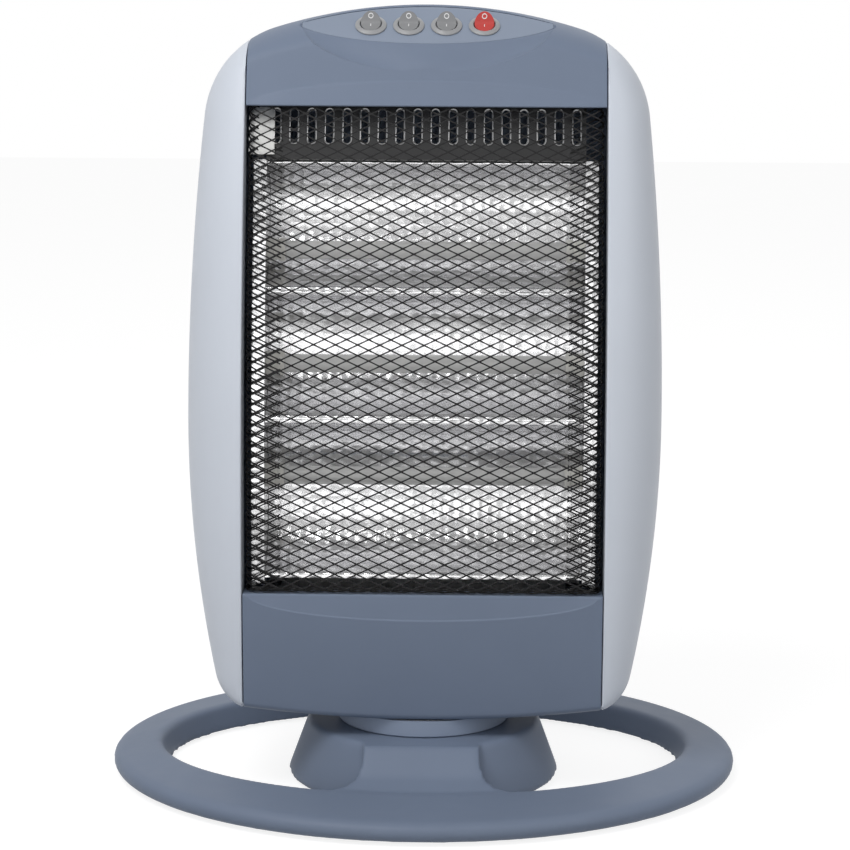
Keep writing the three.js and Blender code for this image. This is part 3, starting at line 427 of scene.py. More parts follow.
foot_radius = 9
foot_height = 3
foot_places = []
for corner in (1, 3, 5, 7):
    turn = corner * math.pi / 4
    foot_places.append((
        (ring_outer[0] + ring_inner[0]) / 2 * math.cos(turn),
        (ring_outer[1] + ring_inner[1]) / 2 * math.sin(turn) - turning_axis,
    ))
boss_low, boss_high = foot_height + 0.3, ring_shoulder
boss_profile = [(0, boss_low), (foot_radius - 2, boss_low), (foot_radius - 2, boss_high), (0, boss_high)]
combine(stand, [lathe("boss", boss_profile, 32, centre) for centre in foot_places], "UNION")
pivot_clearance = pivot_radius + 0.6
combine(stand, [
    lathe("pivot_hole", [(0, 20), (pivot_clearance, 20), (pivot_clearance, 60), (0, 60)], 48),
], "DIFFERENCE")
remesh = stand.modifiers.new("even_skin", "REMESH")
remesh.mode = "VOXEL"
remesh.voxel_size = stand_voxel * mm
relax = stand.modifiers.new("soft_edges", "SMOOTH")
relax.factor = 0.5
relax.iterations = stand_smoothing
baked(stand)
fit(stand, "stand", "blue_plastic", blue_plastic, "stand_base", crease=60)


# ------------------------------------------------------------------ rubber feet and the drive in the stand
# Four black rubber pads are pressed on bosses under the ring. The motor, its crank, the sliding ring and the
# pivot's bolt and nut sit in the cone, seen only from below or through the crank's slot.
def plain_metal(name, colour, roughness):
    """Plated or rolled steel: a fine grain in its gloss and a faint bump."""
    made, tree, shader, place = new_finish(name, Base_Color=(*colour, 1), Metallic=1.0)
    grain = noise(tree, place, 400.0, 5.0, 0.7)
    uneven_gloss(tree, shader, grain, roughness - 0.08, roughness + 0.12)
    fine_relief(tree, shader, grain, 0.1)
    return made


def finish_nodes(finish, *names):
    """Gives CAD nodes that stay as they are a finish of their own."""
    for name in names:
        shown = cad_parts[name]
        for place in shown.material_slots:
            place.link = "OBJECT"
            place.material = finish


rubber = moulded_plastic("black_rubber", (0.012, 0.012, 0.012), 0.8, grain=0.3, specular=0.25)
zinc = plain_metal("zinc_plated_steel", (0.62, 0.62, 0.61), 0.34)
grey_plastic = moulded_plastic("mid_grey_plastic", srgb(140, 141, 143), 0.36)
foot_profile = [
    (0, 0), (foot_radius - 1.2, 0), (foot_radius - 0.3, 0.3), (foot_radius, 1.0),
    (foot_radius, foot_height - 0.4),
    (foot_radius - 0.4, foot_height), (0, foot_height),
]
for index, centre in enumerate(foot_places):
    pad = lathe(f"foot_pad_{index + 1}", foot_profile, 48, centre)
    fit(pad, "stand", "rubber", rubber, f"rubber_foot_{index + 1}")
finish_nodes(zinc, "oscillation_motor", "pivot_bolt", "pivot_nut")
finish_nodes(grey_plastic, "crank", "bearing_ring")


# ------------------------------------------------------------------ swivel collar
# A short blue-grey tube under the body, which turns with it just above the cone. The steel plate inside it
# has the slot that the crank's pin runs in.
collar_low, collar_high = cad_box("swivel_collar")
collar_radius = collar_high.x
collar_wall = 2.4
edge = 0.7
collar_profile = [
    (collar_radius - collar_wall, collar_low.z), (collar_radius - edge, collar_low.z),
    (collar_radius, collar_low.z + edge), (collar_radius, collar_high.z),
    (collar_radius - collar_wall, collar_high.z), (collar_radius - collar_wall, collar_low.z),
]
# The same blue-grey plastic as the stand, painted lighter to stand in for the light that falls on the collar
# from the front.
collar_painted_light_plastic = moulded_plastic("collar_plastic_painted_lighter", srgb(138, 150, 170), 0.45, specular=0.25)
fit(lathe("collar", collar_profile, 160), "heater_body", "blue_plastic", collar_painted_light_plastic, "swivel_collar")
finish_nodes(zinc, "swivel_plate", "chassis_floor", "heat_shield")


# ------------------------------------------------------------------ reflectors
# Three troughs of thin bright aluminium, rolled with a pattern of small six-sided dimples that scatters the
# light of the tubes. Each is pressed with a flat brim above and below and a rounded back.
front_radius = 800
front_reach = 60
bow_height = 149
ridge_heights = (136.5, 236.5, 315.5, 394.5)
trough_depth = 38
ridge_inset = 22
sheet = 0.8
reflector_half_length = 99
dimple_pitch = 6.2
dimple_depth = 0.32


def front_face(z):
    """How far forward or back the bowed front stands at a height."""
    return front_radius - front_reach - np.sqrt(front_radius**2 - (np.asarray(z, float) - bow_height) ** 2)


def grid_faces(rows, columns, start=0, flip=False):
    faces = []
    for k in range(rows - 1):
        for i in range(columns - 1):
            a = start + k * columns + i
            face = (a, a + 1, a + columns + 1, a + columns)
            faces.append(face[::-1] if flip else face)
    return faces


def thick_sheet(name, near, far):
    """A closed sheet between two grids of points of the same size."""
    near, far = np.asarray(near), np.asarray(far)
    rows, columns = near.shape[:2]
    total = rows * columns
    faces = grid_faces(rows, columns) + grid_faces(rows, columns, total, True)
    rim = [i for i in range(columns)]
    rim += [k * columns + columns - 1 for k in range(1, rows)]
    rim += [(rows - 1) * columns + i for i in range(columns - 2, -1, -1)]
    rim += [k * columns for k in range(rows - 2, 0, -1)]
    for j, point in enumerate(rim):
        after = rim[(j + 1) % len(rim)]
        faces.append((after, point, total + point, total + after))
    return clean(piece_from(name, np.concatenate([near.reshape(-1, 3), far.reshape(-1, 3)]), faces))


def bright_aluminium(name, colour, roughness):
    """Rolled bright aluminium: a mirror dulled by fine rolling lines and small flats."""
    made, tree, shader, place = new_finish(name, Metallic=1.0)
    flats = node(tree, "ShaderNodeTexVoronoi", {"Vector": place, "Scale": 170.0, "Randomness": 0.55},
                 feature="F1")
    cloudy_colour(tree, shader, flats.outputs["Color"], [c * 0.78 for c in colour], colour)
    rolled = node(tree, "ShaderNodeMapping", {"Vector": place, "Scale": (3.0, 60.0, 60.0)}).outputs[0]
    uneven_gloss(tree, shader, noise(tree, rolled, 14.0, 4.0), roughness - 0.06, roughness + 0.1)
    fine_relief(tree, shader, flats.outputs["Distance"], 0.5, 0.0006)
    return made


reflector_metal = bright_aluminium("hammered_aluminium", (0.86, 0.86, 0.87), 0.2)


def trough_line(half, steps):
    """The trough's profile as (height above its middle, depth) points, evenly spaced, and its normals."""
    share = np.array([(1, 0), (0.93, 0), (0.86, 0.3), (0.72, 0.66), (0.5, 0.9), (0.22, 1)])
    upper = share * (half, trough_depth)
    line = np.concatenate([upper, (upper * (-1, 1))[::-1]])
    for _ in range(3):
        cut = np.concatenate([line[:-1] * 0.75 + line[1:] * 0.25, line[:-1] * 0.25 + line[1:] * 0.75], axis=1)
        line = np.concatenate([line[:1], cut.reshape(-1, 2), line[-1:]])
    run = np.concatenate([[0], np.cumsum(np.hypot(*np.diff(line, axis=0).T))])
    even = np.linspace(0, run[-1], steps)
    line = np.stack([np.interp(even, run, line[:, k]) for k in range(2)], axis=1)
    along = np.gradient(line, axis=0)
    normal = np.stack([-along[:, 1], along[:, 0]], axis=1) / np.hypot(*along.T)[:, None]
    return line, normal, even


def dimples(x, run):
    """Six-sided dimples, from 0 on the ridges between them to 1 in their middles."""
    wave = 2 * math.pi / dimple_pitch
    lean = wave * math.sqrt(3) / 2
    height = np.cos(wave * x) + 2 * np.cos(wave / 2 * x) * np.cos(lean * run)
    return np.clip((height + 1.5) / 4.5, 0, 1) ** 0.7


level_names = ("lower", "middle", "upper")
across = np.linspace(-reflector_half_length, reflector_half_length, 166)
for index, level in enumerate(level_names):
    lower_ridge, upper_ridge = ridge_heights[index:index + 2]
    middle = (lower_ridge + upper_ridge) / 2
    gap = upper_ridge - lower_ridge
    line, normal, run = trough_line(gap / 2 - 0.15, int(gap) + 12)
    sunk = dimples(across[None, :], run[:, None] + index * 1.7) * dimple_depth
    away = np.where(normal[:, 1] < 0, -1, 1)[:, None]
    height = middle + line[:, :1] + normal[:, :1] * away * sunk
    depth = line[:, 1:] + normal[:, 1:] * away * sunk
    wide = np.broadcast_to(across, height.shape)
    base = front_face(middle + line[:, :1]) + ridge_inset
    near = np.stack([wide, base + np.minimum(depth, trough_depth - 0.1), height], axis=2)
    far = np.stack([
        wide, np.broadcast_to(base + line[:, 1:] + sheet, height.shape),
        np.broadcast_to(middle + line[:, :1], height.shape),
    ], axis=2)
    trough = thick_sheet(f"trough_{level}", near, far)
    fit(trough, "heater_body", "bright_aluminium", reflector_metal, f"reflector_{level}", crease=75)
finish_nodes(reflector_metal, "left_end_plate", "right_end_plate")


# ------------------------------------------------------------------ tubes
# Three halogen tubes of milky quartz across the troughs, with a heating coil inside and a white ceramic
# holder at each end.
def milky_quartz(name):
    made, tree, shader, place = new_finish(name, Roughness=0.16, Transmission_Weight=0.25, IOR=1.46)
    cloudy_colour(tree, shader, noise(tree, place, 90.0, 3.0), (0.66, 0.66, 0.66), (0.82, 0.82, 0.8))
    return made


quartz = milky_quartz("milky_quartz")
ceramic = moulded_plastic("white_ceramic", (0.74, 0.73, 0.69), 0.5, grain=0.2, specular=0.5)


def turned_along_x(name, profile, centre):
    """A profile of (radius, x) points turned about a line along X."""
    return turned(name, profile, 48, lambda u, v, x: (x, centre[0] + u, centre[1] + v))


for level in level_names:
    low, high = cad_box(f"halogen_tube_{level}")
    centre = ((low.y + high.y) / 2, (low.z + high.z) / 2)
    radius = (high.z - low.z) / 2
    end = high.x
    profile = [
        (0, -end), (radius * 0.8, -end), (radius, -end + 1.2),
        (radius, end - 1.2), (radius * 0.8, end), (0, end),
    ]
    tube = turned_along_x(f"tube_{level}", profile, centre)
    fit(tube, "heater_body", "quartz", quartz, f"halogen_tube_{level}")
    for side in (-1, 1):
        word = "right" if side > 0 else "left"
        low, high = cad_box(f"tube_holder_{word}_{level}")
        inner, outer = (low.x, high.x) if side > 0 else (high.x, low.x)
        wide = (high.z - low.z) / 2
        step = side * 0.7
        profile = [
            (radius + 0.3, inner), (wide - 0.7, inner), (wide, inner + step), (wide, inner + 5 * step),
            (wide - 1, inner + 6 * step), (wide - 1, inner + 9 * step), (wide, inner + 10 * step),
            (wide, outer - step), (wide - 0.7, outer), (0, outer), (0, inner + side * 5),
            (radius + 0.3, inner + side * 5), (radius + 0.3, inner),
        ]
        holder = turned_along_x(f"holder_{word}_{level}", profile, centre)
        fit(holder, "heater_body", "ceramic", ceramic, f"tube_holder_{word}_{level}")


# ------------------------------------------------------------------ slotted air outlet
# A black strip above the reflectors. Its upright slots have round ends with raised rims of bare steel, and a
# zinc-plated tab holds its left end.
black_plastic = moulded_plastic("black_plastic", (0.022, 0.022, 0.023), 0.4, specular=0.5)
finish_nodes(black_plastic, "vent_strip", "tilt_switch", "cord_gland")
slot_count = 18
slot_pitch = 11
slot_width = 4.8
slot_height = 22
rim_width = 0.75
rim_rise = 0.9
slots_drop = 13.4


def racetrack(half_straight, radius, steps=8):
    """An upright slot's outline, as (x, z) points."""
    top = arc((0, half_straight), radius, 0, math.pi, steps)
    return top + [(-x, -z) for x, z in top]


def shape_tree(name, sizes):
    """A geometry node tree with named number inputs, with the inputs' identifiers and its input node."""
    tree = bpy.data.node_groups.new(name, "GeometryNodeTree")
    tree.interface.new_socket("Geometry", in_out="INPUT", socket_type="NodeSocketGeometry")
    sockets = {}
    for label, value in sizes.items():
        kind = "NodeSocketInt" if isinstance(value, int) else "NodeSocketFloat"
        sockets[label] = tree.interface.new_socket(label, in_out="INPUT", socket_type=kind).identifier
    tree.interface.new_socket("Geometry", in_out="OUTPUT", socket_type="NodeSocketGeometry")
    entry = node(tree, "NodeGroupInput")
    return tree, sockets, entry


def end_tree(tree, geometry, finish):
    whole = node(tree, "GeometryNodeRealizeInstances", {"Geometry": geometry})
    painted = node(tree, "GeometryNodeSetMaterial", {"Geometry": whole.outputs[0], "Material": finish})
    node(tree, "NodeGroupOutput", {"Geometry": painted.outputs[0]})


def grown(piece, tree, sockets, sizes):
    """The piece with the tree's result made part of its mesh."""
    growth = piece.modifiers.new(tree.name, "NODES")
    growth.node_group = tree
    for label, value in sizes.items():
        growth[sockets[label]] = value
    return baked(piece)


def calculate(tree, operation, first, second=0.0):
    return node(tree, "ShaderNodeMath", {0: first, 1: second}, operation=operation).outputs[0]


outer = racetrack((slot_height - slot_width) / 2, slot_width / 2 + rim_width)
crown = racetrack((slot_height - slot_width) / 2, slot_width / 2 + rim_width * 0.5)
inner = racetrack((slot_height - slot_width) / 2, slot_width / 2 - 0.1)
rim_loops = [
    [(x, 0.4, z) for x, z in outer], [(x, -rim_rise * 0.7, z) for x, z in outer],
    [(x, -rim_rise, z) for x, z in crown], [(x, -rim_rise * 0.7, z) for x, z in inner],
    [(x, 0.6, z) for x, z in inner], [(x, 0.6, z) for x, z in crown],
]
rims = loops_closed("slot_rims", rim_loops)
slot_rim_steel = plain_metal("bare_slot_rim", (0.5, 0.5, 0.5), 0.3)
sizes = {"Slots": slot_count, "Pitch": slot_pitch * mm}
tree, sockets, entry = shape_tree("slot_row", sizes)
reach = calculate(tree, "MULTIPLY", entry.outputs["Pitch"],
                  calculate(tree, "SUBTRACT", entry.outputs["Slots"], 1.0))
row = node(tree, "GeometryNodeMeshLine", {
    "Count": entry.outputs["Slots"],
    "Start Location": node(tree, "ShaderNodeCombineXYZ", {
        "X": calculate(tree, "MULTIPLY", reach, -0.5)}).outputs[0],
    "Offset": node(tree, "ShaderNodeCombineXYZ", {"X": entry.outputs["Pitch"]}).outputs[0],
}, mode="OFFSET")
copies = node(tree, "GeometryNodeInstanceOnPoints", {
    "Points": row.outputs[0], "Instance": entry.outputs["Geometry"],
})
end_tree(tree, copies.outputs[0], slot_rim_steel)
grown(rims, tree, sockets, sizes)
strip_low, strip_high = cad_box("vent_strip")
opening_top = 429
slots_middle = opening_top - slots_drop
strip_lean = math.atan(
    (front_face(strip_high.z) - front_face(strip_low.z)) / (strip_high.z - strip_low.z)
)
strip_inset = 18
strip_depth = float(front_face(slots_middle)) + strip_inset
rims.data.transform(
    Matrix.Translation(Vector((0, strip_depth, slots_middle)) * mm) @ Matrix.Rotation(-strip_lean, 4, "X")
)
fit(rims, "heater_body", "steel", slot_rim_steel)
tab_reach, tab_height = (-110.5, -94.5), (398.5, 427)
tab_points = [
    [
        [(x, float(front_face(z)) + depth, z) for x in np.linspace(*tab_reach, 4)]
        for z in np.linspace(*tab_height, 8)
    ]
    for depth in (strip_inset - 1.4, strip_inset - 0.1)
]
fit(thick_sheet("strip_tab", *tab_points), "heater_body", "steel", zinc)


# ------------------------------------------------------------------ diamond-mesh guard
# One sheet of slit and stretched black steel. It follows the bow of the front, its sides turn back and in
# again, and its foot turns back over the lower panel's edge.
diamond_width = 13.6
diamond_height = 6.45
strand = 0.72
knot = 1.05
wire_depth = 0.7
guard_high = cad_box("mesh_guard")[1]
guard_inset = 1.2
guard_bend = 8
guard_return = 14
foot_bend = 2.5
foot_return = 13


def black_enamel(name):
    near_black = (0.004, 0.004, 0.0045, 1)
    made, tree, shader, place = new_finish(name, Base_Color=near_black, Specular_IOR_Level=0.25)
    grain = noise(tree, place, 900.0, 2.0)
    uneven_gloss(tree, shader, grain, 0.4, 0.6)
    fine_relief(tree, shader, grain, 0.25)
    return made


enamel = black_enamel("black_enamel")


def crossing(name):
    """Where two strands meet: four arms that end half-way to the next crossings, thicker at the knot."""
    half_x, half_z = diamond_width / 4, diamond_height / 4
    length = math.hypot(half_x, half_z)
    nx, nz = half_z / length * strand / 2, half_x / length * strand / 2
    right = [(half_x + nx, half_z - nz), (half_x - nx, half_z + nz)]
    notch = knot / 2
    outline = [(notch * 1.9, 0)] + right + [(0, notch)]
    outline += [(-x, z) for x, z in reversed(right)] + [(-notch * 1.9, 0)]
    outline += [(-x, -z) for x, z in right] + [(0, -notch)] + [(x, -z) for x, z in reversed(right)]
    count = len(outline)
    points = [(x, y, z) for y in (-wire_depth / 2, wire_depth / 2) for x, z in outline]
    arm_ends = {1, 4, 7, 10}
    sides = [i for i in range(count) if i not in arm_ends]
    faces = [(i, count + i, count + (i + 1) % count, (i + 1) % count) for i in sides]
    quads = [(0, 1, 2, 3), (3, 4, 5, 6), (6, 7, 8, 9), (9, 10, 11, 0), (0, 3, 6, 9)]
    faces += quads + [tuple(count + i for i in reversed(quad)) for quad in quads]
    return piece_from(name, points, faces)


flat_half = guard_high.x - guard_bend
sheet_half_width = flat_half + math.pi * guard_bend + guard_return
guard_foot = 132.2
foot_turn = math.pi / 2 * foot_bend
sheet_height = guard_high.z - guard_foot - foot_bend + foot_turn + foot_return
columns = 2 * int(sheet_half_width // diamond_width)
rows = int(sheet_height // diamond_height)
guard = crossing("guard_mesh")
sizes = {"Columns": columns, "Rows": rows, "Width": diamond_width * mm, "Height": diamond_height * mm}
tree, sockets, entry = shape_tree("diamond_sheet", sizes)


def lattice(extra):
    """Crossings at every other place of the diamonds, or with one row and column more at those between."""
    count_x = calculate(tree, "ADD", entry.outputs["Columns"], float(extra))
    count_z = calculate(tree, "ADD", entry.outputs["Rows"], float(extra))
    gaps_x, gaps_z = [calculate(tree, "SUBTRACT", crossings, 1.0) for crossings in (count_x, count_z)]
    flat = node(tree, "GeometryNodeMeshGrid", {
        "Size X": calculate(tree, "MULTIPLY", gaps_x, entry.outputs["Width"]),
        "Size Y": calculate(tree, "MULTIPLY", gaps_z, entry.outputs["Height"]),
        "Vertices X": count_x,
        "Vertices Y": count_z,
    })
    upright = node(tree, "GeometryNodeTransform", {
        "Geometry": flat.outputs["Mesh"], "Rotation": Euler((math.pi / 2, 0, 0)),
    })
    return node(tree, "GeometryNodeInstanceOnPoints", {
        "Points": upright.outputs[0], "Instance": entry.outputs["Geometry"],
    }).outputs[0]


both = node(tree, "GeometryNodeJoinGeometry")
for extra in (0, 1):
    tree.links.new(lattice(extra), both.inputs[0])
solid_sheet = node(tree, "GeometryNodeRealizeInstances", {"Geometry": both.outputs[0]})
welded = node(tree, "GeometryNodeMergeByDistance", {"Geometry": solid_sheet.outputs[0], "Distance": 0.00002})
end_tree(tree, welded.outputs[0], enamel)
grown(guard, tree, sockets, sizes)


def press_guard(points):
    """Bends the flat sheet: its foot back, its sides back and in again, and all of it to the front's bow."""
    u, v, w = points.T / mm
    reach = np.abs(u)
    turn = np.clip(reach - flat_half, 0, math.pi * guard_bend) / guard_bend
    back = np.clip(reach - flat_half - math.pi * guard_bend, 0, None)
    radius = guard_bend - v
    x = np.sign(u) * (np.minimum(reach, flat_half) + np.sin(turn) * radius - back)
    depth = guard_bend - np.cos(turn) * radius
    z = w + guard_high.z - sheet_height / 2
    foot = guard_foot + foot_bend - z
    bent = np.clip(foot, 0, foot_turn) / foot_bend
    z = np.where(foot > 0, guard_foot + foot_bend - np.sin(bent) * (foot_bend - v), z)
    depth = depth + (1 - np.cos(bent)) * foot_bend + np.clip(foot - foot_turn, 0, None)
    y = front_face(z) + guard_inset + wire_depth / 2 + depth
    return np.stack([x, y, z], axis=1) * mm


coordinates = np.empty(len(guard.data.vertices) * 3)
guard.data.vertices.foreach_get("co", coordinates)
guard.data.vertices.foreach_set("co", press_guard(coordinates.reshape(-1, 3)).ravel())
guard.data.update()
fit(guard, "heater_body", "black_wire", None, "mesh_guard", crease=40)


# ------------------------------------------------------------------ side panels
# Two silver-grey painted cheeks, moulded in one sweep from the edge of the opening over the rounded side to
# the joint with the rear housing.
body_top = 489
body_bottom = 49
body_half_width = 148.5
widest_height = 238
upper_side_radius = 1900
lower_side_radius = 750
top_radius = 330
bottom_radius = 850
top_corner_radius = 62
bottom_corner_radius = 24
seam_x = 112
seam = 0.6
panel_wall = 2.4
parting_depth = 52
top_roll = 16
bottom_roll = 4
roll_ratio = 1.2
top_roll_ratio = 2
top_fall = 3.5
side_lip_depth = 26
edge_corner = 0.9


def top_arc(x):
    return body_top - top_radius + np.sqrt(top_radius**2 - np.asarray(x, float) ** 2)


def bottom_arc(x):
    return body_bottom + bottom_radius - np.sqrt(bottom_radius**2 - np.asarray(x, float) ** 2)


def corner_centre(first, second, radius, side):
    """Centre of a corner arc that touches two larger arcs from inside. An arc is (x, z, radius)."""
    r1, r2 = first[2] - radius, second[2] - radius
    dx, dz = second[0] - first[0], second[1] - first[1]
    distance = math.hypot(dx, dz)
    a = (r1**2 - r2**2 + distance**2) / (2 * distance)
    h = side * math.sqrt(r1**2 - a**2)
    return (first[0] + (a * dx - h * dz) / distance, first[1] + (a * dz + h * dx) / distance, radius)


lower_arc = (body_half_width - lower_side_radius, widest_height, lower_side_radius)
upper_arc = (body_half_width - upper_side_radius, widest_height, upper_side_radius)
foot_arc = (0, body_bottom + bottom_radius, bottom_radius)
crest_arc = (0, body_top - top_radius, top_radius)
foot_corner = corner_centre(lower_arc, foot_arc, bottom_corner_radius, -1)
crest_corner = corner_centre(upper_arc, crest_arc, top_corner_radius, 1)
crest_joint = crest_corner[0] * top_radius / (top_radius - top_corner_radius)


def crest(x):
    """Height of the body's outline above x, and the upward part of its normal there."""
    cx, cz, radius = crest_arc if abs(x) < crest_joint else crest_corner
    rise = math.sqrt(radius**2 - (abs(x) - cx) ** 2)
    return cz + rise, rise / radius


def outline(from_x, crowd=()):
    """The right half of the front view from the foot to the crest, both begun at from_x, with more points
    at the crowd's distances from there: columns of x, z and the outward normal's x and z."""
    def towards(a, b):
        return math.atan2(b[1] - a[1], b[0] - a[0])

    def turn_at(centre, x):
        return math.acos((x - centre[0]) / centre[2])

    last = crest_arc if from_x < crest_joint else crest_corner
    joint = towards(crest_arc, crest_corner)
    corner_end = joint if last is crest_arc else turn_at(crest_corner, from_x)
    arcs = [
        (foot_arc, -turn_at(foot_arc, from_x), towards(foot_arc, foot_corner), 26),
        (foot_corner, towards(foot_arc, foot_corner), towards(lower_arc, foot_corner), 14),
        (lower_arc, towards(lower_arc, foot_corner), 0, 44),
        (upper_arc, 0, towards(upper_arc, crest_corner), 44),
        (crest_corner, towards(upper_arc, crest_corner), corner_end, 34),
        (crest_arc, joint, turn_at(crest_arc, from_x), 30),
    ]
    if last is crest_corner:
        arcs.pop()
    points = []
    for centre, start, end, steps in arcs:
        turns = np.linspace(start, end, steps + 1)
        if centre is foot_arc:
            turns = np.append(turns, [-turn_at(centre, from_x + d) for d in crowd])
        if centre is last:
            turns = np.append(turns, [turn_at(centre, from_x + d) for d in crowd])
        for angle in np.sort(turns)[1 if points else 0:]:
            nx, nz = math.cos(angle), math.sin(angle)
            points.append((centre[0] + centre[2] * nx, centre[1] + centre[2] * nz, nx, nz))
    return np.array(points)


def flat_height(z):
    """The height on the opening's edge that a point of the outline is rounded towards."""
    reach = 10
    highest = float(top_arc(seam_x)) - top_roll
    lowest = float(bottom_arc(seam_x)) + bottom_roll
    upper = highest - reach + (z - highest + reach) * reach / (reach + top_roll)
    lower = lowest + reach + (z - lowest - reach) * reach / (reach + bottom_roll)
    return np.where(z > highest - reach, upper, np.where(z < lowest + reach, lower, z))


def loft(name, sections):
    """A closed skin through rows of closed sections. Point j of a section lies across from point -1-j."""
    sections = np.asarray(sections)
    rows, count = sections.shape[:2]
    faces = []
    for k in range(rows - 1):
        for i in range(count):
            after = (i + 1) % count
            faces.append((k * count + i, k * count + after, (k + 1) * count + after, (k + 1) * count + i))
    last = (rows - 1) * count
    for j in range(count // 2 - 1):
        faces.append((j, j + 1, count - 2 - j, count - 1 - j))
        faces.append((last + j, last + count - 1 - j, last + count - 2 - j, last + j + 1))
    return clean(piece_from(name, sections.reshape(-1, 3), faces))


def ease(count, sharp=2.0):
    """Steps from 0 to 1 that crowd at both ends."""
    t = np.linspace(-1, 1, count)
    return (np.sin(t * math.pi / 2) * (sharp - 1) / sharp + t / sharp) / 2 + 0.5


def end_rounding(left, radius=0.7):
    """How far a skin draws back beside its end, to round the edge there, for the distance left to the end."""
    return radius - math.sqrt(radius**2 - (radius - max(0, left)) ** 2) if left < radius else 0.0


def cheek(name, side):
    near = seam_x + seam / 2
    bend = np.linspace(0, math.pi / 2, 4)[1:]
    turns = ease(34) * math.pi / 2
    sections = []
    for px, pz, nx, nz in outline(near, (0.05, 0.15, 0.35, 0.7, 1.2)):
        qz = float(flat_height(pz))
        reach = np.array([px - near, pz - qz])
        rise = np.hypot(*reach)
        ratio = roll_ratio + (top_roll_ratio - roll_ratio) * max(0, nz) ** 2
        share = np.sin(turns)
        z = qz + reach[1] * share
        roll_y = front_face(z) + rise * ratio * (1 - np.cos(turns))
        roll = np.stack([near + reach[0] * share, roll_y, z], axis=1)
        fall = top_fall * max(0, nz) ** 2
        joint_z = pz - fall * nz
        back = np.array([px - fall * nx, float(front_face(joint_z)) + parting_depth - seam / 2, joint_z])
        outer = np.concatenate([roll, roll[-1] + (back - roll[-1]) * np.linspace(0, 1, 10)[1:, None]])
        along = np.gradient(outer, axis=0)
        blend = np.append(share, np.ones(9))[:, None]
        level = np.array([reach[0], 0, reach[1]]) / rise * (1 - blend) + np.array([nx, 0, nz]) * blend
        level /= np.linalg.norm(level, axis=1)[:, None]
        slope = np.abs((along * level).sum(axis=1))
        depth = np.abs(along[:, 1])
        length = np.hypot(slope, depth)
        inward = -level * (depth / length)[:, None] + np.array([0, 1, 0]) * (slope / length)[:, None]
        thick = min(2, max(0, px - near))
        inner = outer + inward * panel_wall
        inner[:, 0] = np.maximum(inner[:, 0], near + thick)
        face = float(front_face(qz))
        lip = np.array([(near, face + d, qz) for d in (side_lip_depth, 14, 6, 2.6, edge_corner)])
        lip_inner = np.maximum(lip + (thick, 0, 0), (0, face + panel_wall, 0))
        rounded = np.stack([
            near + edge_corner * (1 - np.cos(bend)) * reach[0] / rise,
            face + edge_corner * (1 - np.sin(bend)),
            qz + edge_corner * (1 - np.cos(bend)) * reach[1] / rise,
        ], axis=1)
        rounded_inner = np.tile((near + thick, face + panel_wall, qz), (3, 1))
        distance = np.hypot(outer[:, 0] - near, outer[:, 2] - qz)
        close = (distance < edge_corner * 1.1) & (np.arange(len(outer)) < 30)
        outer = outer + inward * end_rounding(px - near)
        outer[close] = rounded[-1]
        inner[close] = rounded_inner[-1]
        section = np.concatenate([lip, rounded, outer, inner[::-1], rounded_inner, lip_inner[::-1]])
        sections.append(section * (side, 1, 1))
    return loft(name, sections)


silver_paint = moulded_plastic(
    "silver_grey_paint", srgb(210, 216, 226), 0.42, grain=0.06, mottle=0.03, specular=0.3,
)
for word, side in (("left", -1), ("right", 1)):
    fit(cheek(f"{word}_cheek", side), "heater_body", "silver_plastic", silver_paint, f"{word}_side_panel")


# ------------------------------------------------------------------ lower panel
# The blue-grey panel under the grille. A shallow crescent is sunk along its upper edge, and its foot rolls
# back under the body.
opening_bottom = 131
lip_depth = 16
lip_wall = 2
lower_crescent = 16.2
crescent_half_width = 109


def across_panel(extra=()):
    """Stations across a panel, crowded at both ends, where its edges are rounded."""
    end = seam_x - seam / 2
    edge = [end - d for d in (0, 0.05, 0.15, 0.35, 0.7, 1.5)]
    inner = list(np.linspace(-end + 3, end - 3, 73))
    return np.array(sorted(set(edge + [-e for e in edge] + inner + list(extra))))


def opening_lip(start, edge, away):
    """A panel's edge at the opening: its lip from deep inside to the rounded corner, as (y, z) points."""
    lip = [(start + d, edge) for d in (lip_depth, 10, 5, 2.4, edge_corner)]
    return lip + [
        (start + edge_corner * (1 - math.sin(a)), edge + away * edge_corner * (1 - math.cos(a)))
        for a in np.linspace(0, math.pi / 2, 4)[1:-1]
    ]


def panel_section(x, column, edge, away):
    """A panel's wall at x, behind its outer line, and drawn back beside the seam with the cheek."""
    outer, inward, lip_points = column(x)
    draw = end_rounding(seam_x - seam / 2 - abs(x))
    inner = outer + inward * panel_wall
    inner[:lip_points, 0] = np.maximum(outer[:lip_points, 0], outer[lip_points, 0] + panel_wall)
    inner[:lip_points, 1] = edge + away * lip_wall
    inner[:, 1] = away * np.maximum(away * inner[:, 1], away * edge + lip_wall)
    wall = np.concatenate([outer + inward * draw, inner[::-1]])
    return np.stack([np.full(len(wall), x), wall[:, 0], wall[:, 1]], axis=1)


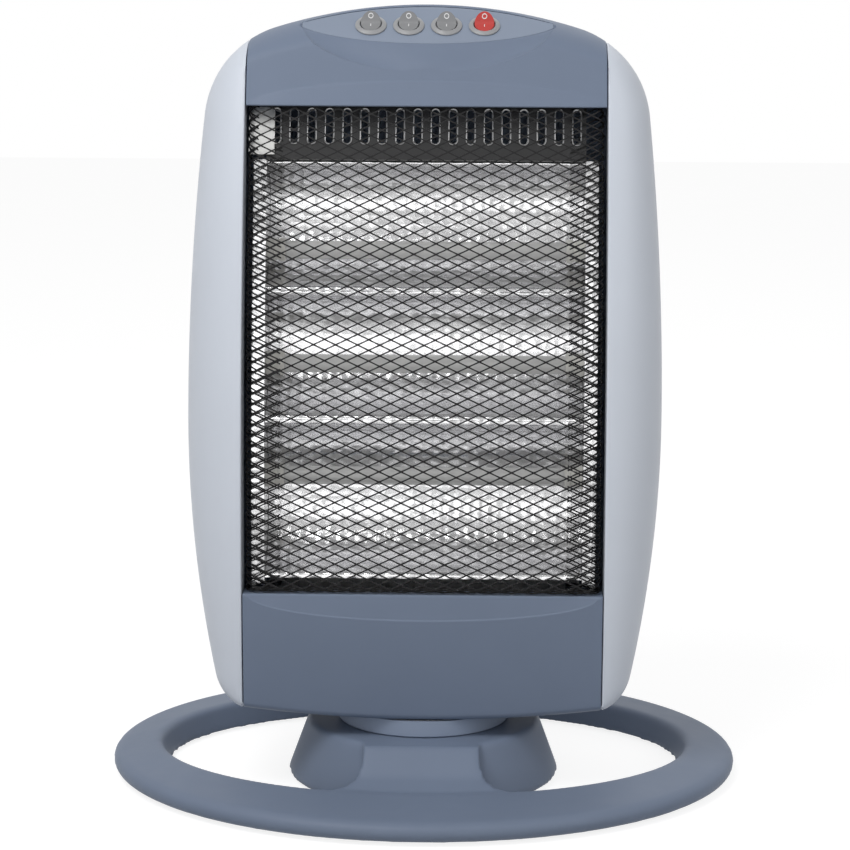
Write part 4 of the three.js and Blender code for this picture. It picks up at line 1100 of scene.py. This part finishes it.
def lower_column(x):
    """The panel's outer line from the opening's lip to the rear joint, the way into its wall along it, and
    how many of its points are the lip's."""
    face = float(front_face(opening_bottom))
    arc_height = lower_crescent * math.sqrt(max(0, 1 - (x / crescent_half_width) ** 2))
    crest = opening_bottom - arc_height
    sunk = 2.4 * min(1, arc_height / 8)
    brow = opening_bottom - edge_corner
    roll_start = float(bottom_arc(x)) + bottom_roll
    z = np.concatenate([
        brow - (brow - crest) * np.linspace(0, 1, 12) * 0.93,
        np.linspace(crest + 0.5, crest - 0.9, 6),
        np.linspace(crest - 2.0, roll_start, 30),
    ])
    z = np.minimum.accumulate(np.minimum(z, brow))
    step = np.clip((z - (crest - 0.5)) / 1.0, 0, 1)
    recess = sunk * (0.2 * step**2 * (3 - 2 * step)
                     + 0.8 * np.clip((z - crest) / max(arc_height, 1), 0, 1))
    y = front_face(z) + recess
    lip = opening_lip(face + sunk, opening_bottom, -1)
    turns = np.linspace(0, math.pi / 2, 10)[1:]
    roll_z = roll_start - bottom_roll * np.sin(turns)
    roll_y = front_face(roll_z) + bottom_roll * roll_ratio * (1 - np.cos(turns))
    back_y = np.linspace(roll_y[-1], float(front_face(roll_z[-1])) + parting_depth - seam / 2, 14)[1:]
    outer = np.concatenate([lip, np.stack([y, z], axis=1), np.stack([roll_y, roll_z], axis=1),
                            np.stack([back_y, np.full(len(back_y), roll_z[-1])], axis=1)])
    angle = np.concatenate([
        np.zeros(len(lip) + len(z)), turns, np.full(len(back_y), math.pi / 2),
    ])
    inward = np.stack([np.cos(angle), np.sin(angle)], axis=1)
    return outer, inward, len(lip)


lower_sections = [panel_section(x, lower_column, opening_bottom, -1) for x in across_panel()]
lower_panel = loft("lower_panel", lower_sections)
fit(lower_panel, "heater_body", "blue_plastic", blue_plastic, "front_bottom_panel")


# ------------------------------------------------------------------ upper panel
# The blue-grey panel above the grille, which rolls over the top of the body. A smiling apron is carved out
# of it in front of the switches, and behind the apron's edge lies the shallow pocket of the lens.
facet_front = (11, 466.2)
facet_slope = math.radians(34)
lens_half_width = 85.4
lens_bow = 27
lens_end = 79
lens_thickness = 2.2
lens_ridge = 1.8
apron_half_width = 80.3
apron_bottom = 450
apron_rise = 32
apron_bulge = 1.2
apron_hollow = 1.8
upper_crescent = 15.5
wall_leans_from, wall_leans_over = 445, 25
wall_leans_towards = (60, 430)


def facet_point(s, n=0.0):
    """A point on the switches' slope: s up the slope and n out of it, as (y, z)."""
    cos, sin = math.cos(facet_slope), math.sin(facet_slope)
    return np.array([facet_front[0] + s * cos - n * sin, facet_front[1] + s * sin + n * cos])


def sweep(x, half_width, rise):
    return rise * (1 - math.sqrt(max(0.0, 1 - (x / half_width) ** 2)))


def resample(points, count):
    points = np.asarray(points)
    steps = np.hypot(*np.diff(points, axis=0).T)
    run = np.concatenate([[0], np.cumsum(steps)])
    even = np.linspace(0, run[-1], count)
    return np.stack([np.interp(even, run, points[:, k]) for k in range(2)], axis=1)


def upper_skin(x):
    """The panel's outer line before the carving, from the opening's edge to the rear joint."""
    roll_start = float(top_arc(x)) - top_roll
    highest, normal_z = crest(x)
    roll = highest - roll_start
    ratio = roll_ratio + (top_roll_ratio - roll_ratio) * normal_z**2
    z = np.linspace(opening_top + edge_corner, roll_start, 160)
    arc_height = upper_crescent * math.sqrt(max(0, 1 - (x / crescent_half_width) ** 2))
    below = np.clip((opening_top + arc_height + 0.5 - z) / 1.0, 0, 1)
    raised = min(1, arc_height / 6) * (
        0.35 * below**2 * (3 - 2 * below)
        + 1.3 * np.clip((opening_top + arc_height - z) / max(arc_height, 1), 0, 1)
    )
    flat = np.stack([front_face(z) - raised, z], axis=1)
    turns = np.linspace(0, math.pi / 2, 60)[1:]
    roll_z = roll_start + roll * np.sin(turns)
    roll_y = front_face(roll_z) + roll * ratio * (1 - np.cos(turns))
    fall = top_fall * normal_z**2
    back_z = roll_z[-1] - fall * normal_z
    back_y = float(front_face(back_z)) + parting_depth - seam / 2
    ends = ((roll_y[-1], back_y), (roll_z[-1], back_z))
    back = np.stack([np.linspace(start, end, 40)[1:] for start, end in ends], axis=1)
    return np.concatenate([flat, np.stack([roll_y, roll_z], axis=1), back])


def carving(x, skin):
    """The slope's front edge, and the first and last points of the skin that are carved away, if any are."""
    edge = facet_point(sweep(x, lens_half_width, lens_bow))
    apron_z = apron_bottom + sweep(x, apron_half_width, apron_rise)
    apron = np.array([float(front_face(apron_z)), apron_z])
    slope = (edge[1] - apron[1]) / (edge[0] - apron[0])
    carved = np.where(
        skin[:, 0] < edge[0],
        edge[1] + (skin[:, 0] - edge[0]) * slope,
        facet_front[1] + (skin[:, 0] - facet_front[0]) * math.tan(facet_slope),
    )
    taken = np.flatnonzero((skin[:, 1] > carved + 0.01) & (skin[:, 1] > apron_bottom - 5))
    return edge, (taken[0], taken[-1]) if len(taken) and abs(x) < apron_half_width - 0.05 else None


def run_along(skin):
    return np.concatenate([[0], np.cumsum(np.hypot(*np.diff(skin, axis=0).T))])


for tip_x in np.arange(apron_half_width, 60, -0.05):
    tip_skin = upper_skin(tip_x)
    tip_span = carving(tip_x, tip_skin)[1]
    if tip_span:
        tip_share = run_along(tip_skin)[sum(tip_span) // 2] / run_along(tip_skin)[-1]
        break


def upper_column(x):
    """The panel's outer line with its carving, the way into its wall, and how many points are the lip's."""
    skin = upper_skin(x)
    edge, span = carving(x, skin)
    if span:
        front, back = skin[max(span[0] - 1, 0)], skin[min(span[1] + 1, len(skin) - 1)]
        if edge[0] <= front[0] or edge[0] >= back[0]:
            edge = (front + back) / 2
    else:
        run = run_along(skin)
        nearest = int(np.argmin(np.abs(run - run[-1] * tip_share)))
        span = (nearest, nearest)
        front = back = edge = skin[nearest]
    pocket_front = sweep(x, lens_half_width, lens_bow) + 0.4
    pocket_back = (float(top_arc(x)) - facet_front[1]) / math.sin(facet_slope) - lens_ridge
    if abs(x) < lens_end and pocket_back > pocket_front + 0.4:
        floor_depth = -lens_thickness - 0.3
        pocket = [
            facet_point(pocket_front), facet_point(pocket_front, floor_depth),
            *[facet_point(s, floor_depth) for s in np.linspace(pocket_front, pocket_back, 14)[1:-1]],
            facet_point(pocket_back, floor_depth), facet_point(pocket_back),
        ]
    else:
        pocket = [edge + (back - edge) * t for t in np.linspace(0, 1, 16)]
    lower = resample(skin[:span[0]], 90)
    lower[-1] = front
    rest = resample(np.concatenate([[back], skin[span[1] + 2:]]), 30)
    t = np.linspace(0, 1, 22)[:, None]
    reach = edge - front
    length = max(np.hypot(*reach), 1e-6)
    out = np.array([-reach[1], reach[0]]) / length
    middle = math.exp(-((x / 26) ** 2))
    bulge = apron_bulge * middle * 6.75 * t * (1 - t) ** 2
    hollow = apron_hollow * (1 - middle) * min(1, length / 14) * 6.75 * t * (1 - t) ** 2
    apron_line = front + reach * t + out * (bulge - hollow)
    lip = opening_lip(skin[0, 0], opening_top, 1)
    outer = np.concatenate([lip, lower, apron_line[1:], pocket, rest])
    lean = np.clip((outer[:, 1] - wall_leans_from) / wall_leans_over, 0, 1)
    lean[: len(lip) + len(lower) // 3] = 0
    towards = np.array(wall_leans_towards) - outer
    towards /= np.hypot(*towards.T)[:, None]
    inward = np.array([1, 0]) * (1 - lean)[:, None] + towards * lean[:, None]
    inward /= np.hypot(*inward.T)[:, None]
    return outer, inward, len(lip)


apron_tips = [side * x for side in (-1, 1) for x in np.linspace(70, 81, 34)]
upper_sections = [panel_section(x, upper_column, opening_top, 1) for x in across_panel(apron_tips)]
upper_panel = loft("upper_panel", upper_sections)
fit(upper_panel, "heater_body", "blue_plastic", blue_plastic, "front_top_panel", crease=28)


# ------------------------------------------------------------------ lens
# A thin blue-grey cover with a bowed front edge lies in the pocket and carries the four switches.
lens_gap = 0.35


def facet_to_world(points):
    """Points given as (x, up the slope, out of it) in the object's frame."""
    points = np.asarray(points, float)
    placed = facet_point(points[:, 1], points[:, 2])
    return np.stack([points[:, 0], placed[0], placed[1]], axis=1)


def lens():
    sections = []
    edge = 0.5
    half = lens_end - lens_gap
    for x in np.concatenate([[-half], np.linspace(-half + 0.3, half - 0.3, 110), [half]]):
        s0 = sweep(x, lens_half_width, lens_bow) + 0.4 + lens_gap
        s1 = (float(top_arc(x)) - facet_front[1]) / math.sin(facet_slope) - lens_ridge - lens_gap
        s1 = max(s1, s0 + 0.8)
        draw = min(edge, (s1 - s0) / 3)
        upper = [(s0, -draw), (s0 + draw * 0.3, -draw * 0.3), (s0 + draw, 0)]
        upper += [(s, 0) for s in np.linspace(s0 + draw, s1 - draw, 24)[1:]]
        upper += [(s1 - draw * 0.3, -draw * 0.3), (s1, -draw)]
        lower = [(s, -lens_thickness) for s, n in upper]
        column = upper + lower[::-1]
        sections.append(facet_to_world([(x, s, n) for s, n in column]))
    return loft("lens", sections)


# The same blue-grey plastic as the panels, painted lighter to stand in for the light that falls on its upward
# slope.
lens_painted_light_plastic = moulded_plastic("lens_plastic_painted_lighter", srgb(133, 144, 162), 0.36, specular=0.35)
fit(lens(), "heater_body", "blue_plastic", lens_painted_light_plastic, "control_panel")


# ------------------------------------------------------------------ rocker switches
# Four round rocker switches of a stock kind: a conical grey collar pressed into the lens, and a domed rocker
# with a ring on its far half and a bar on its near half. The power switch's rocker is red.
switch_names = ("oscillation", "heat_low", "heat_high", "power")
switch_pitch = 23.7
switch_middle = -0.1
switch_slope = 18.5
bezel_radius = 9.8
bezel_top = 7.5
bezel_height = 1.9
rocker_radius = 6.35
rocker_pivot = 1.4
rocker_middle = 3.0
rocker_crown = 9.6
rocker_draft = 0.13
rocker_gap = 0.42
rocker_slope, rocker_bend = 0.56, 0.31
rocker_steps = 72
switch_barrel = 14
barrel_radius = 9.1
ring_mark_middle, ring_mark_half_width, ring_mark_half_length = 3.2, 1.4, 1.15
bar_mark_ends = (-2.8, -1.1)
red_plastic = moulded_plastic("red_rocker_plastic", srgb(186, 52, 46), 0.28, grain=0.04, specular=0.55)
rocker_grey = moulded_plastic("rocker_grey_plastic", srgb(128, 129, 131), 0.32, grain=0.04, specular=0.5)
bezel_grey = moulded_plastic("collar_grey_plastic", srgb(150, 151, 153), 0.34, grain=0.08)
mark_white = moulded_plastic("white_print", srgb(225, 225, 225), 0.5, grain=0.05)


def turned_on_slope(name, profile, x0):
    """A profile of (radius, height) points turned about a line that stands on the switches' slope."""
    return turned(name, profile, rocker_steps, lambda u, v, n: (x0 + u, *facet_point(switch_slope + v, n)))


def rocker_top(x, s):
    """Height of the rocker's top above the lens: a shallow and a steep slope that meet in a soft valley,
    within a dome."""
    slopes = rocker_middle + rocker_slope * s + rocker_bend * (math.sqrt(s * s + 0.8) - 0.9)
    dome = rocker_pivot + math.sqrt(max(0.0, rocker_crown**2 - s * s - 1.5 * x * x))
    soft = 0.3
    return -soft * math.log(math.exp(-slopes / soft) + math.exp(-dome / soft))


def rocker_reach(angle):
    """How far the rocker's top reaches in a direction: its sides lean in, and more so the higher they end."""
    reach = rocker_radius
    for _ in range(6):
        height = rocker_top(reach * math.cos(angle), reach * math.sin(angle))
        reach = rocker_radius - rocker_draft * max(0.3, height - rocker_pivot)
    return reach


def rocker(name, x0):
    rings, steps = 22, rocker_steps
    points = [(x0, switch_slope, rocker_top(0, 0))]
    for k in range(1, rings + 1):
        for i in range(steps):
            a = 2 * math.pi * i / steps
            r = rocker_reach(a) * math.sin(k / rings * math.pi / 2)
            dx, ds = r * math.cos(a), r * math.sin(a)
            points.append((x0 + dx, switch_slope + ds, rocker_top(dx, ds)))
    for r, height in ((rocker_radius, 0.6), (rocker_radius - 0.8, -0.1)):
        for i in range(steps):
            a = 2 * math.pi * i / steps
            points.append((x0 + r * math.cos(a), switch_slope + r * math.sin(a), height))
    faces = [(0, 1 + i, 1 + (i + 1) % steps) for i in range(steps)]
    for k in range(rings + 1):
        for i in range(steps):
            a, b = 1 + k * steps + i, 1 + k * steps + (i + 1) % steps
            faces.append((a, a + steps, b + steps, b))
    faces.append(tuple(1 + (rings + 1) * steps + i for i in range(steps)))
    return clean(piece_from(name, facet_to_world(points), faces))


def mark_on_rocker(name, x0, outline_points, closed):
    """A thin raised ribbon of print that follows the rocker's top."""
    half, lift = 0.22, 0.06
    centre = np.asarray(outline_points, float)
    if closed:
        along = np.roll(centre, -1, axis=0) - np.roll(centre, 1, axis=0)
    else:
        along = np.gradient(centre, axis=0)
    side = np.stack([-along[:, 1], along[:, 0]], axis=1) / np.hypot(*along.T)[:, None] * half
    sections = []
    for point, shift in zip(centre, side):
        corners = [(point + shift, 1), (point - shift, 1), (point - shift, -1), (point + shift, -1)]
        sections.append(facet_to_world([
            (x0 + p[0], switch_slope + p[1], rocker_top(p[0], p[1]) + lift * up) for p, up in corners
        ]))
    return loops_closed(name, sections) if closed else loft(name, sections)


for index, word in enumerate(switch_names):
    x0 = switch_middle + (index - 1.5) * switch_pitch
    well = rocker_radius + rocker_gap
    collar_shape = [
        (well, -switch_barrel + 4), (well, bezel_height - 0.6), (well + 0.15, bezel_height - 0.15),
        (bezel_top, bezel_height), (bezel_top + 0.3, bezel_height - 0.1), (bezel_radius - 0.55, 1.15),
        (bezel_radius - 0.15, 0.95), (bezel_radius, 0.7), (bezel_radius, 0.3), (barrel_radius, 0.3),
        (barrel_radius, -switch_barrel), (0, -switch_barrel), (0, -switch_barrel + 4),
        (well, -switch_barrel + 4),
    ]
    bezel = turned_on_slope(f"collar_{word}", collar_shape, x0)
    fit(bezel, "heater_body", "grey_plastic", bezel_grey, f"switch_body_{word}", crease=28)
    power = word == "power"
    slot_name = "red_plastic" if power else "grey_plastic"
    top = rocker(f"rocker_top_{word}", x0)
    fit(top, f"rocker_{word}", slot_name, red_plastic if power else rocker_grey, f"rocker_{word}", crease=50)
    ring_line = [
        (ring_mark_half_width * math.cos(a), ring_mark_middle + ring_mark_half_length * math.sin(a))
        for a in np.arange(24) * math.pi / 12
    ]
    bar_line = [(0, s) for s in np.linspace(*bar_mark_ends, 6)]
    for mark, line in (("ring", ring_line), ("bar", bar_line)):
        print_piece = mark_on_rocker(f"{mark}_mark_{word}", x0, line, mark == "ring")
        fit(print_piece, f"rocker_{word}", slot_name, mark_white)


# ------------------------------------------------------------------ rear housing
# The blue-grey back of the heater, one moulding with rounded edges. Two banks of slots let air in behind the
# heat shield, and the black gland for the cord sits at one side of its foot.
back_reach = 44
back_radius = 1300
rear_roll_share = 0.8
rear_roll_depth = 20


def back_face(z):
    return back_reach + (np.asarray(z, float) - bow_height) ** 2 / (2 * back_radius)


def rear_shell(name):
    """Outer and inner skins from the joint over the rounded edge to the middle of the back."""
    half = outline(0.001)
    half = half[np.linspace(0, len(half) - 1, 130).astype(int)]
    sides = []
    for side in (-1, 1):
        skins = []
        for wall in (0, panel_wall):
            columns = []
            for px, pz, nx, nz in half:
                fall = wall + top_fall * max(0, nz) ** 2
                x, z = px - fall * nx, pz - fall * nz
                flat_x = min(px, seam_x)
                if px > seam_x:
                    flat_z = float(flat_height(pz))
                elif pz > widest_height:
                    flat_z = float(top_arc(px)) - top_roll
                else:
                    flat_z = float(bottom_arc(px)) + bottom_roll
                joint = float(front_face(z)) + parting_depth + seam / 2
                column = [(x, joint, z)]
                for turn in np.linspace(0, math.pi / 2, 10):
                    inward = rear_roll_share * (1 - math.cos(turn))
                    rx = x + (flat_x - x) * inward
                    rz = z + (flat_z - z) * inward
                    ry = float(back_face(rz)) - wall - (rear_roll_depth - wall) * (1 - math.sin(turn))
                    column.append((rx, ry, rz))
                for share in np.linspace(0, 1, 9)[1:]:
                    column.append((rx * (1 - share), ry, rz))
                columns.append(column)
            skins.append(np.array(columns) * (side, 1, 1))
        sides.append(skins)
    points, faces = [], []
    for skins in sides:
        for skin in skins:
            start = len(points)
            rows, count = skin.shape[:2]
            points.extend(skin.reshape(-1, 3))
            faces += grid_faces(rows, count, start)
        outer_start = len(points) - 2 * rows * count
        for k in range(rows - 1):
            a, b = outer_start + k * count, outer_start + (k + 1) * count
            faces.append((a, b, b + rows * count, a + rows * count))
    return clean(piece_from(name, points, faces), 0.01)


housing = rear_shell("housing")
slot_rows = {"lower": 110, "upper": 330}
air_slot_length = 70
air_slot_height = 4
air_slot_pitch = 12
air_slot_count = 6
air_slot_middle = air_slot_length / 2 + 6
slot_half = air_slot_length / 2 - air_slot_height / 2
bar = [(z, x) for x, z in racetrack(slot_half, air_slot_height / 2)]
cutter = bar_between("air_slots", *[[(x, y, z) for x, z in bar] for y in (-14, 14)])
sizes = {"Rows": air_slot_count, "Pitch": air_slot_pitch * mm, "Middle": air_slot_middle * mm}
tree, sockets, entry = shape_tree("slot_banks", sizes)
banks = node(tree, "GeometryNodeJoinGeometry")
for start in slot_rows.values():
    for side in (-1, 1):
        first = node(tree, "ShaderNodeCombineXYZ", {
            "X": calculate(tree, "MULTIPLY", entry.outputs["Middle"], float(side)),
            "Y": float(back_face(start + air_slot_pitch * 2.5)) * mm,
            "Z": (start + air_slot_height / 2) * mm,
        })
        bank = node(tree, "GeometryNodeMeshLine", {
            "Count": entry.outputs["Rows"],
            "Start Location": first.outputs[0],
            "Offset": node(tree, "ShaderNodeCombineXYZ", {"Z": entry.outputs["Pitch"]}).outputs[0],
        }, mode="OFFSET")
        tree.links.new(bank.outputs[0], banks.inputs[0])
cut_bars = node(tree, "GeometryNodeInstanceOnPoints", {
    "Points": banks.outputs[0], "Instance": entry.outputs["Geometry"],
})
end_tree(tree, cut_bars.outputs[0], blue_plastic)
grown(cutter, tree, sockets, sizes)
combine(housing, [cutter], "DIFFERENCE")
fit(housing, "heater_body", "blue_plastic", blue_plastic, "rear_housing")


# ------------------------------------------------------------------ the model's size, and the end
low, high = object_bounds()
